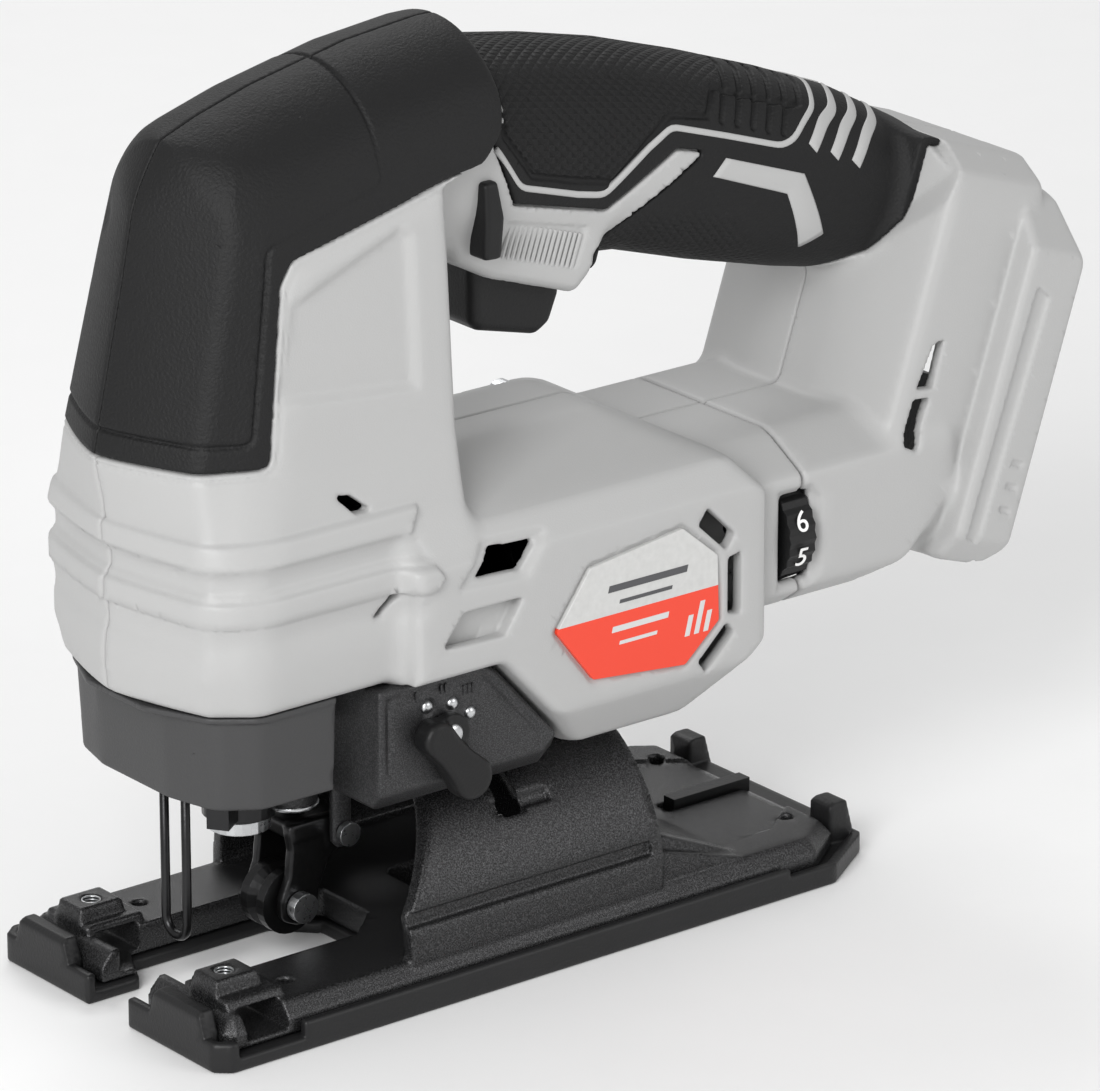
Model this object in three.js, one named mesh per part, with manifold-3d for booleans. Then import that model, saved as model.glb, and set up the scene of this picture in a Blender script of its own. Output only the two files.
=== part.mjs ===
// Cordless orbital jigsaw with a D handle, bare tool without its battery pack.
// Millimetres, +Z up. The tool cuts towards -X, and -Y is its left side, where the orbit lever and the dial are.
// The origin is on the underside of the sole, in the middle plane, behind the blade slot.
import * as THREE from "three";
import { mergeVertices } from "three/addons/utils/BufferGeometryUtils.js";
import Module from "manifold-3d";

const wasm = await Module();
wasm.setup();

// ---------- Driving dimensions ----------
const gap = 0.3; // between pieces that touch or seat on each other
const wall = 2.6; // housing wall where nothing is moulded over it
const rubber = 2; // thickness of the soft black overmould
const coverWall = rubber + wall; // wall and overmould together

// Base
const soleOrigin = 110; // from the sole's front edge to the origin
const soleHalfWidth = 39.5;
const soleLength = 179.4;
const soleFloor = 3;
const soleWallTop = 6.5;
const plateTop = 10;
const plateHalfWidth = soleHalfWidth - 2.5;
const slotHalfWidth = 15;
const slotMouthHalfWidth = 7;
const slotEnd = 60;
const bossTop = 15.4;
const tiltAxisZ = 10.3;
const saddleRadius = 35.4;
const saddleWall = 3.5;
const saddleFront = 52;
const saddleRear = 119;

// Drive
const motorZ = 79;
const motorRadius = 20;
const motorFront = 91;
const motorRear = 135;
const toothModule = 1;
const pinionTeeth = 9;
const gearTeeth = 40;
const gearZ = motorZ + ((pinionTeeth + gearTeeth) * toothModule) / 2;
const gearFront = 50.2;
const gearWidth = 6.6;
const crankRadius = 13;
const crankDrop = 7; // how far below the gear's axis the crank pin stands at rest
const crankPinRadius = 3.5;
const plungerX = 34;
const plungerRadius = 5;
const shaftRadius = 3;
const clampBottom = 34;

// Roller guide
const rollerX = 44;
const rollerZ = 15.5;
const rollerRadius = 7.2;
const rollerHalfWidth = 4;
const forkPivotX = 54.5;
const forkPivotZ = 30;
const stemX = 50;
const stemRadius = 4.8;

// Gearbox
const gearboxBottom = 43.2;
const gearboxTop = 70.3;
const gearboxFront = 45.5;
const gearboxHalfWidth = 33.4;
const bulkheadFront = 58.5;
const bulkheadRear = 63.5;
const leverX = 62;
const leverZ = 58.3;

// Housing
const shellBottom = gearboxTop + 0.7;
const noseRear = 69.5;
const blockHalfWidth = 38;
const blockTop = 111;
const blockRear = 144.5;
const blockBottom = 44;
const barrelHalfWidth = 34;
const barrelTop = 100.5;
const barrelBottom = 61;
const seamX = 157.5; // where the front housing meets the rear housing
const footX = 200; // a point on the slanted foot's own axis
const footZ = 90;
const footTilt = THREE.MathUtils.degToRad(18.5);
const columnHalfWidth = 32.5;
const footBottom = -25.7;
const footTop = 63.6;
const flangeHalfWidth = 39;
const flangeRear = 19.3;

// Controls
const dialX = 156;
const dialY = -24.3;
const dialZ = 79;
const dialRadius = 11.5;
const dialWidth = 7;
const triggerPivotX = 111;
const triggerPivotZ = 151;
const triggerHalfWidth = 8;
const lockX = 85.6;
const lockZ = 159.5;

// ---------- Solids ----------
// A three.js geometry as a manifold-3d solid.
function solid(geometry) {
  const bare = geometry.clone();
  for (const name of Object.keys(bare.attributes)) if (name !== "position") bare.deleteAttribute(name);
  const merged = mergeVertices(bare, 1e-4);
  return new wasm.Manifold(
    new wasm.Mesh({
      numProp: 3,
      vertProperties: Float32Array.from(merged.attributes.position.array),
      triVerts: Uint32Array.from(merged.index.array),
    }),
  );
}

function geometryOf(body) {
  const mesh = body.getMesh();
  const geometry = new THREE.BufferGeometry();
  geometry.setAttribute("position", new THREE.BufferAttribute(Float32Array.from(mesh.vertProperties), 3));
  geometry.setIndex(new THREE.BufferAttribute(Uint32Array.from(mesh.triVerts), 1));
  const flat = geometry.toNonIndexed();
  flat.computeVertexNormals();
  return flat;
}

const join = (first, ...rest) => rest.reduce((a, b) => a.add(b), first);
const cut = (first, ...rest) => rest.reduce((a, b) => a.subtract(b), first);
const common = (first, ...rest) => rest.reduce((a, b) => a.intersect(b), first);
const largest = (body) => body.decompose().sort((a, b) => b.volume() - a.volume())[0];
const moved = (body, x, y, z) => body.translate([x, y, z]);

function box(x0, x1, y0, y1, z0, z1) {
  const geometry = new THREE.BoxGeometry(x1 - x0, y1 - y0, z1 - z0);
  geometry.translate((x0 + x1) / 2, (y0 + y1) / 2, (z0 + z1) / 2);
  return solid(geometry);
}

function outline(points) {
  const shape = new THREE.Shape(points.map(([a, b]) => new THREE.Vector2(a, b)));
  return shape;
}

function extruded(points, depth) {
  return new THREE.ExtrudeGeometry(outline(points), { depth, bevelEnabled: false, steps: 1 });
}

// A side outline of (x, z) points, swept across the tool from y0 to y1.
function sideways(points, y0, y1) {
  const geometry = extruded(points, y1 - y0);
  geometry.rotateX(Math.PI / 2);
  geometry.translate(0, y1, 0);
  return solid(geometry);
}

// A front outline of (y, z) points, swept along the tool from x0 to x1.
function lengthways(points, x0, x1) {
  const geometry = extruded(points, x1 - x0);
  const turn = new THREE.Matrix4().makeBasis(
    new THREE.Vector3(0, 1, 0),
    new THREE.Vector3(0, 0, 1),
    new THREE.Vector3(1, 0, 0),
  );
  geometry.applyMatrix4(turn);
  geometry.translate(x0, 0, 0);
  return solid(geometry);
}

// A plan outline of (x, y) points, swept up from z0 to z1.
function upwards(points, z0, z1) {
  const geometry = extruded(points, z1 - z0);
  geometry.translate(0, 0, z0);
  return solid(geometry);
}

// Half an outline, given for y or half-width above zero, completed with its mirror image.
const mirrored = (half) => [...half, ...half.map(([a, b]) => [-a, b]).reverse()];
const mirroredPlan = (half) => [...half, ...half.map(([a, b]) => [a, -b]).reverse()];

// The same outline with each edge moved in by d. Points run anticlockwise.
function inset(points, d) {
  const n = points.length;
  const sign = THREE.ShapeUtils.area(points.map(([a, b]) => ({ x: a, y: b }))) > 0 ? 1 : -1;
  return points.map((p, i) => {
    const before = points[(i + n - 1) % n];
    const after = points[(i + 1) % n];
    const edge = (a, b) => {
      const length = Math.hypot(b[0] - a[0], b[1] - a[1]);
      return [(-sign * (b[1] - a[1])) / length, (sign * (b[0] - a[0])) / length];
    };
    const m = edge(before, p);
    const k = edge(p, after);
    const scale = d / (1 + m[0] * k[0] + m[1] * k[1]);
    return [p[0] + (m[0] + k[0]) * scale, p[1] + (m[1] + k[1]) * scale];
  });
}

// A round rod between two distances along an axis.
function rod(axis, radius, from, to, segments = 24) {
  const geometry = new THREE.CylinderGeometry(radius, radius, to - from, segments);
  geometry.translate(0, (from + to) / 2, 0);
  if (axis === "x") geometry.rotateZ(-Math.PI / 2);
  if (axis === "z") geometry.rotateX(Math.PI / 2);
  return solid(geometry);
}

// A closed skin over rings that all have the same number of points.
function loft(rings) {
  const count = rings[0].length;
  const vertices = rings.flat(2);
  const faces = [];
  for (let r = 0; r + 1 < rings.length; r++) {
    for (let i = 0; i < count; i++) {
      const a = r * count + i;
      const b = r * count + ((i + 1) % count);
      faces.push(a, b, b + count, a, b + count, a + count);
    }
  }
  for (let i = 1; i + 1 < count; i++) {
    const last = (rings.length - 1) * count;
    faces.push(0, i + 1, i, last, last + i, last + i + 1);
  }
  const geometry = new THREE.BufferGeometry();
  geometry.setAttribute("position", new THREE.Float32BufferAttribute(vertices, 3));
  geometry.setIndex(faces);
  const made = solid(geometry);
  if (made.volume() > 0) return made;
  for (let i = 0; i < faces.length; i += 3) [faces[i], faces[i + 1]] = [faces[i + 1], faces[i]];
  geometry.setIndex(faces);
  return solid(geometry);
}

// ---------- Outer form of the housing, each part drawn in by d ----------
// Height, front of the nose, rear of the nose, half-width.
const noseLevels = [
  [shellBottom, 2, noseRear, 31.8],
  [90, 0.8, noseRear, 34],
  [106, 0, noseRear, 34],
  [116, 0, noseRear, 30.5],
  [122, -0.4, noseRear, 28.6],
  [158, 7.4, noseRear, 27.6],
  [168, 9.3, noseRear, 26.4],
  [174, 10.4, 88, 25],
  [181, 14, 89, 22.6],
  [188, 26, 89, 18.8],
  [193, 43, 89, 14.5],
  [197.5, 63, 87, 10],
  [199.5, 73, 84, 7.6],
];

function nose(d, floor = shellBottom) {
  const rings = noseLevels.map(([z, front, rear, half], i) => {
    const height = i === 0 ? floor : z - d * Math.min(Math.max((z - 168) / 25, 0), 1);
    const w = Math.max(half - d, 1);
    const f = front + d;
    const length = rear - d - f;
    const half_outline = [
      [f, 0.3 * w],
      [f + Math.min(6, 0.1 * length), 0.76 * w],
      [f + Math.min(16, 0.25 * length), w],
      [rear - d - 2, w],
      [rear - d, w - 2 * Math.min(1, w / 12)],
    ];
    return mirroredPlan(half_outline).map(([x, y]) => [x, y, height]);
  });
  return loft(rings);
}

const blockSide = [
  [58, shellBottom],
  [74.7, shellBottom],
  [100, blockBottom],
  [124, blockBottom],
  [blockRear, 60],
  [blockRear, 96],
  [136, 106],
  [125, blockTop],
  [58, blockTop],
];
const blockFront = mirrored([
  [29, blockBottom - 2],
  [blockHalfWidth, 54],
  [blockHalfWidth, 92],
  [22, blockTop + 1],
]);

function block(d) {
  return common(sideways(inset(blockSide, d), -60, 60), lengthways(inset(blockFront, d), 40, 160));
}

const barrelFront = mirrored([
  [26, barrelBottom],
  [barrelHalfWidth, 67],
  [barrelHalfWidth, 93],
  [21, barrelTop],
]);

function barrel(d) {
  const side = [
    [130, barrelBottom - 5],
    [182, barrelBottom - 5],
    [186, 66],
    [174, barrelTop + 2],
    [130, barrelTop + 2],
  ];
  return common(sideways(inset(side, d), -60, 60), lengthways(inset(barrelFront, d), 136 - d, 200));
}

// Station, top, bottom and half-width of the hand grip.
const gripStations = [
  [66.4, 188, 151, 19.5],
  [89, 195.5, 148.3, 19],
  [97, 192.4, 145.2, 18],
  [107, 190.7, 140.8, 17.3],
  [129, 185.9, 140.4, 16.8],
  [150, 179.5, 134, 17.2],
  [172, 171.7, 128.2, 18],
  [191.3, 163.8, 124.2, 19.3],
  [203, 157.5, 121.5, 20],
  [212, 148.5, 118, 19],
];

function grip(d, points = 16) {
  return loft(
    gripStations.map(([x, top, bottom, half]) => {
      const ring = [];
      for (let i = 0; i < points; i++) {
        const t = ((i + 0.5) / points) * 2 * Math.PI;
        const squared = (v) => Math.sign(v) * Math.pow(Math.abs(v), 0.78);
        const y = (half - d) * squared(Math.cos(t));
        const z = (top + bottom) / 2 + ((top - bottom) / 2 - d) * squared(Math.sin(t));
        ring.push([x, y, z]);
      }
      return ring;
    }),
  );
}

// The foot is drawn upright about its own axis and leans back by footTilt.
const lean = (body) => moved(body.rotate([0, THREE.MathUtils.radToDeg(footTilt), 0]), footX, 0, footZ);

const columnPlan = mirroredPlan([
  [-24.2, 10.8],
  [-17.8, columnHalfWidth],
  [9, columnHalfWidth],
]);
const flangeSide = [
  [5.5, footBottom + 1],
  [15, footBottom],
  [flangeRear, footBottom + 4],
  [flangeRear, 44.5],
  [6.6, 50.3],
];
const footFront = mirrored([
  [27, footBottom],
  [columnHalfWidth + 1, footBottom + 9],
  [columnHalfWidth + 1, footTop - 15],
  [columnHalfWidth - 1, footTop - 5],
  [21, footTop],
]);

function column(d) {
  return lean(common(upwards(inset(columnPlan, d), footBottom + d, footTop - d), lengthways(inset(footFront, d), -60, 60)));
}

function flange() {
  return lean(sideways(flangeSide, -flangeHalfWidth, flangeHalfWidth));
}

function outer(d) {
  return join(nose(d), block(d), barrel(d), grip(d), column(d));
}

// ---------- Regions of the side view ----------
const noseCoverRegion = [
  [-20, 122],
  [20.6, 122],
  [25.5, 159.5],
  [28, 163],
  [71, 173.2],
  [79, 173.2],
  [84, 176],
  [84, 230],
  [-20, 230],
];
const gripRegion = [
  [88.2, 172],
  [92, 163],
  [93.5, 160.4],
  [117.7, 154.4],
  [139.6, 163.6],
  [143, 162.4],
  [118.2, 146.6],
  [115.5, 141],
  [119, 118],
  [176, 118],
  [190, 132],
  [201, 141],
  [206, 149],
  [214, 158],
  [214, 210],
  [88.2, 210],
];
const rearRegion = [
  [seamX, 20],
  [seamX, 113],
  [176, 113],
  [181, 118],
  [181, 172],
  [290, 172],
  [290, 20],
];

const across = 70; // further out than any piece of the housing
const prism = (region, d = 0) => sideways(inset(region, d), -across, across);

// ---------- Openings in the housing ----------
const ventOutlines = [
  [[67.2, 91.1], [71.6, 96.6], [83.5, 95.9], [79.1, 90.3]],
  [[128, 93.2], [135.6, 85.7], [133.2, 82.6], [125.4, 89.8]],
  [[133.6, 80.8], [137.2, 81.6], [137.2, 67.6], [133.6, 68.4]],
  [[133.4, 66.6], [135.6, 63.8], [128, 56.4], [125.6, 59.4]],
  [[37.5, 110], [42.5, 110.4], [48.5, 107.8], [44, 107.4]],
  [[44.5, 88.6], [49.5, 95.2], [52, 94.8], [47.5, 88]],
];
const footVents = [
  [[190.6, 104.4], [193.8, 104], [196.4, 113.6], [193.8, 113.6]],
  [[187.2, 94], [189.2, 92], [192.8, 101.8], [190, 102.2]],
];
const labelOutline = [
  [121, 90.3],
  [96.4, 87.1],
  [87.5, 74.9],
  [97.3, 62.4],
  [121.8, 59.9],
  [130.9, 67.8],
  [130.4, 82.4],
];
const dialWindow = (halfHeight, d) =>
  box(dialX - dialWidth / 2 - d, dialX + dialWidth / 2 + d, -across, dialY + 2, dialZ - halfHeight - d, dialZ + halfHeight + d);

const crankPinY = Math.sqrt(crankRadius ** 2 - crankDrop ** 2);
const yokeZ = gearZ - crankDrop;
const triggerSlot = () => box(87.6, 114.8, -triggerHalfWidth - 0.6, triggerHalfWidth + 0.6, 120, 158);
const lockSlot = () => box(lockX - 2.9, lockX + 2.9, -across, across, lockZ - 8.9, lockZ + 8.9);

// ---------- Housing ----------
const ribStations = [104, 126]; // ribs that hold the motor
const ribWidth = 2;

// Side position of each housing screw, and how far out its head sits. They go in from the right.
const screwShank = 1.5;
const screwHead = 3.4;
const screwTip = -13;
const onFoot = (x, z) => [
  footX + x * Math.cos(footTilt) + z * Math.sin(footTilt),
  footZ - x * Math.sin(footTilt) + z * Math.cos(footTilt),
];
const screws = [
  [12.7, 83.5, 16],
  [20, 112, 18],
  [63, 150, 18],
  [117, 105.5, 16],
  [128, 54.3, 26],
  [171, 79, 24],
  [...onFoot(0, 38), 20],
  [...onFoot(-6, -19.5), 20],
];
const alongY = (radius, from, to, [x, z], segments = 16) => moved(rod("y", radius, from, to, segments), x, 0, z);

function screwPosts() {
  return common(join(...screws.map((at) => alongY(4.4, -across, across, at, 20))), outer(0.5));
}

function screwBores() {
  return join(
    ...screws.flatMap((at) => [
      alongY(screwShank + gap, screwTip - 1, 60, at),
      alongY(screwHead + gap + 0.1, at[2] - gap, across, at, 20),
    ]),
  );
}

function addScrews() {
  screws.forEach((at, i) => {
    const head = alongY(screwHead, at[2], at[2] + 2.8, at, 20);
    const socket = alongY(1.5, at[2] + 1.2, at[2] + 4, at, 6);
    add("housing_screw_" + (i + 1), join(alongY(screwShank, screwTip, at[2] + 0.5, at), cut(head, socket)), steel);
  });
}

function cavity() {
  const low = common(nose(wall, shellBottom - 5), box(-50, 300, -across, across, 0, 119));
  const overSaddle = tiltCylinder(saddleRadius + gap + wall, 60, 160);
  const rooms = cut(join(low, nose(coverWall), block(wall), barrel(wall), grip(coverWall), column(wall)), overSaddle);
  const ribs = ribStations.map((x) => cut(box(x, x + ribWidth, -across, across, 0, blockTop), moved(rod("x", motorRadius + gap, 80, 160, 40), 0, 0, motorZ)));
  return cut(rooms, ...ribs);
}

// A cylinder about the axis that the base tilts on.
const tiltCylinder = (radius, from, to) => moved(rod("x", radius, from, to, 36), 0, 0, tiltAxisZ);

function batteryRecess() {
  const half = flangeHalfWidth - 4.5;
  return join(
    lean(box(9.6, 15.4, -half, half, footBottom - 10, 40.5)),
    lean(box(9.6, flangeRear + 5, -half + 4, half - 4, footBottom - 10, 40.5)),
  );
}

function housingBody() {
  const skinned = join(outer(0), flange());
  const seat = (region) => cut(prism(region, -gap), outer(rubber + gap + 0.15));
  const openings = [...ventOutlines, ...footVents].map((points) => sideways(points, -across, across));
  const bare = cut(
    skinned,
    tiltCylinder(saddleRadius + gap, 60, 160),
    cut(cavity(), lean(box(6.8, 60, -across, across, footBottom, footTop)), screwPosts()),
    batteryRecess(),
    lean(box(5, 10.5, -12.9, 12.9, -13.8, 8.8)),
    screwBores(),
    alongY(1.5 + gap, -12.1, 12.1, [triggerPivotX, triggerPivotZ]),
    seat(noseCoverRegion),
    seat(gripRegion),
    ...openings,
    dialWindow(9.6, 0.5),
    triggerSlot(),
    lockSlot(),
    sideways(inset(labelOutline, -gap), -across, -blockHalfWidth + 0.8 + gap),
  );
  return bare;
}

const leftSide = box(-50, 300, -across, -gap / 2, -20, 300);
const rightSide = box(-50, 300, gap / 2, across, -20, 300);

const plastic = { color: 0xc9c9c8, roughness: 0.55, metalness: 0 };
const black = { color: 0x232324, roughness: 0.7, metalness: 0 };
const skirtGrey = { color: 0x4a4a4b, roughness: 0.6, metalness: 0 };
const cast = { color: 0x2d2d2f, roughness: 0.45, metalness: 0.6 };
const steel = { color: 0xb4b6b8, roughness: 0.3, metalness: 1 };
const darkSteel = { color: 0x2c2c2e, roughness: 0.35, metalness: 0.9 };
const copper = { color: 0xb06a3a, roughness: 0.4, metalness: 1 };
const bronze = { color: 0xb08d57, roughness: 0.5, metalness: 1 };
const board = { color: 0x2a5a3a, roughness: 0.6, metalness: 0 };
const labelRed = { color: 0xf2472a, roughness: 0.4, metalness: 0 };

const tool = new THREE.Group();
tool.name = "jigsaw";
const fromSole = new THREE.Group(); // everything below is measured from the sole's front edge
fromSole.position.x = -soleOrigin;
tool.add(fromSole);

function add(name, shape, look, parent = fromSole) {
  const geometry = shape.isBufferGeometry ? shape : geometryOf(shape);
  const mesh = new THREE.Mesh(geometry, new THREE.MeshStandardMaterial(look));
  mesh.name = name;
  parent.add(mesh);
  return mesh;
}

function addHousing() {
  const body = housingBody();
  const rear = prism(rearRegion);
  const front = cut(body, prism(rearRegion, -gap));
  add("front_shell_left", largest(common(front, leftSide)), plastic);
  add("front_shell_right", largest(common(front, rightSide)), plastic);
  add("rear_shell_left", largest(common(body, rear, leftSide)), plastic);
  add("rear_shell_right", largest(common(body, rear, rightSide)), plastic);
  const skin = cut(outer(0), outer(rubber));
  const openings = join(lockSlot(), triggerSlot());
  const cover = cut(common(skin, prism(noseCoverRegion)), openings);
  const sleeve = cut(common(skin, prism(gripRegion)), openings, prism(noseCoverRegion, -gap));
  add("nose_cover_left", largest(common(cover, leftSide)), black);
  add("nose_cover_right", largest(common(cover, rightSide)), black);
  add("grip_left", largest(common(sleeve, leftSide)), black);
  add("grip_right", largest(common(sleeve, rightSide)), black);
  add("side_label", sideways(labelOutline, -blockHalfWidth - 0.2, -blockHalfWidth + 0.8), labelRed);
}


// ---------- Base ----------
const blank = (x0, x1, half, z0, z1) => box(x0, x1, -half, half, z0, z1);
const solePlan = mirroredPlan([[0, 36.7], [3.3, soleHalfWidth], [163, soleHalfWidth], [soleLength, 29]]);
const slot = (d) =>
  upwards(
    mirroredPlan([[-5, slotMouthHalfWidth - d], [13, slotMouthHalfWidth - d], [17, slotHalfWidth - d], [52, slotHalfWidth - d], [slotEnd - d, 7]]),
    -5,
    30,
  );
const keyAccess = () => upwards(mirroredPlan([[77, 6], [79, 8], [91, 8], [93, 6]]), -5, 14);
const platePlan = (d) => mirroredPlan([[4.4 + d, 34 - d], [6.4 + d, plateHalfWidth - 0.3 - d], [160 - d, plateHalfWidth - 0.3 - d], [170.6 - d, 29 - d]]);

function addBase() {
  const parent = fromSole;
  const floor = upwards(solePlan, 0, soleFloor);
  const walls = cut(upwards(solePlan, 0, soleWallTop), upwards(inset(solePlan, 2.5), -1, 20), blank(5, 21.5, 60, soleFloor, 20), blank(-5, 4.2, 14, soleFloor, 20));
  const front = [-1, 1].map((s) => box(0.2, 4, s > 0 ? 14.5 : -32.8, s > 0 ? 32.8 : -14.5, 2, 11.5));
  const rear = box(171.3, 177.5, -27, 27, 2, 12);
  add("sole", cut(join(floor, walls, ...front, rear), slot(0), keyAccess()), black, parent);
  const skirtOfPlate = loft([platePlan(0).map(([x, y]) => [x, y, soleFloor + gap]), platePlan(0).map(([x, y]) => [x, y, 6.5]), platePlan(2.6).map(([x, y]) => [x, y, plateTop])]);
  const bridges = [-1, 1].map((s) => box(7, 21.5, s > 0 ? 17 : -33, s > 0 ? 33 : -17, soleFloor + gap, 12.4));
  const bosses = [-1, 1].map((s) => box(7, 18.5, s > 0 ? 19.4 : -28.6, s > 0 ? 28.6 : -19.4, 12, bossTop));
  const fenceTunnel = blank(9.2, 19.4, across, 4.6, 10.2);
  const screwHoles = [-1, 1].map((s) => moved(rod("z", 2.1, 9, 20, 16), 12.65, s * 23.6, 0));
  const small = [-1, 1].map((s) => moved(rod("z", 1.6, 5.5, 20, 12), 26.4, s * 25.7, 0));
  const pockets = [-1, 1].flatMap((s) => [
    box(126, 143, s > 0 ? 7 : -29, s > 0 ? 29 : -7, 6.6, 20),
    box(147, 160, s > 0 ? 7 : -26, s > 0 ? 26 : -7, 6.6, 20),
  ]);
  const dome = common(
    cut(rod("x", saddleRadius, saddleFront, saddleRear, 36), rod("x", saddleRadius - saddleWall, 0, 200, 36)),
    blank(0, 200, 60, -1, 60),
  );
  const saddle = common(
    moved(dome, 0, 0, tiltAxisZ),
    sideways([[52, 4], [52, 19], [66, 38.1], [66, 60], [saddleRear, 60], [saddleRear, 4]], -60, 60),
  );
  // The bolt stands still in this slot while the saddle swings 45 degrees either way.
  const arcSlot = common(
    moved(cut(rod("x", 40, 82.2, 87.8, 32), rod("x", 25, 60, 120, 32)), 0, 0, tiltAxisZ),
    lengthways([[0, tiltAxisZ], [-40, 42], [-40, 60], [40, 60], [40, 42]], 60, 120),
  );
  const plate = cut(
    join(skirtOfPlate, ...bridges, ...bosses, cut(saddle, blank(0, 200, 60, -5, plateTop - 0.5))),
    fenceTunnel,
    ...screwHoles,
    ...small,
    ...pockets,
    arcSlot,
    slot(-1),
    keyAccess(),
    box(171 - 24, 171, -2.2, 2.2, 7.4, 20),
  );
  add("base_plate", largest(plate), cast, parent);
  add("hex_key", box(149, 170.3, -1.8, 1.8, 7.7, 11), steel, parent);
}

// ---------- Gearbox and drive ----------
const boltX = 85;

// A spur gear outline in the plane across its axis. Straight flanks stand in for involutes.
function gearOutline(teeth, phase) {
  const pitch = (teeth * toothModule) / 2;
  const points = [];
  for (let i = 0; i < teeth; i++) {
    const middle = phase + (i / teeth) * 2 * Math.PI;
    const half = 0.66 * toothModule;
    for (const [r, w] of [[pitch - 1.15, half + 0.36], [pitch + 0.85, half - 0.34], [pitch + 0.85, -half + 0.34], [pitch - 1.15, -half - 0.36]]) {
      points.push([r * Math.cos(middle - w / pitch), r * Math.sin(middle - w / pitch)]);
    }
  }
  return points;
}

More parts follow.
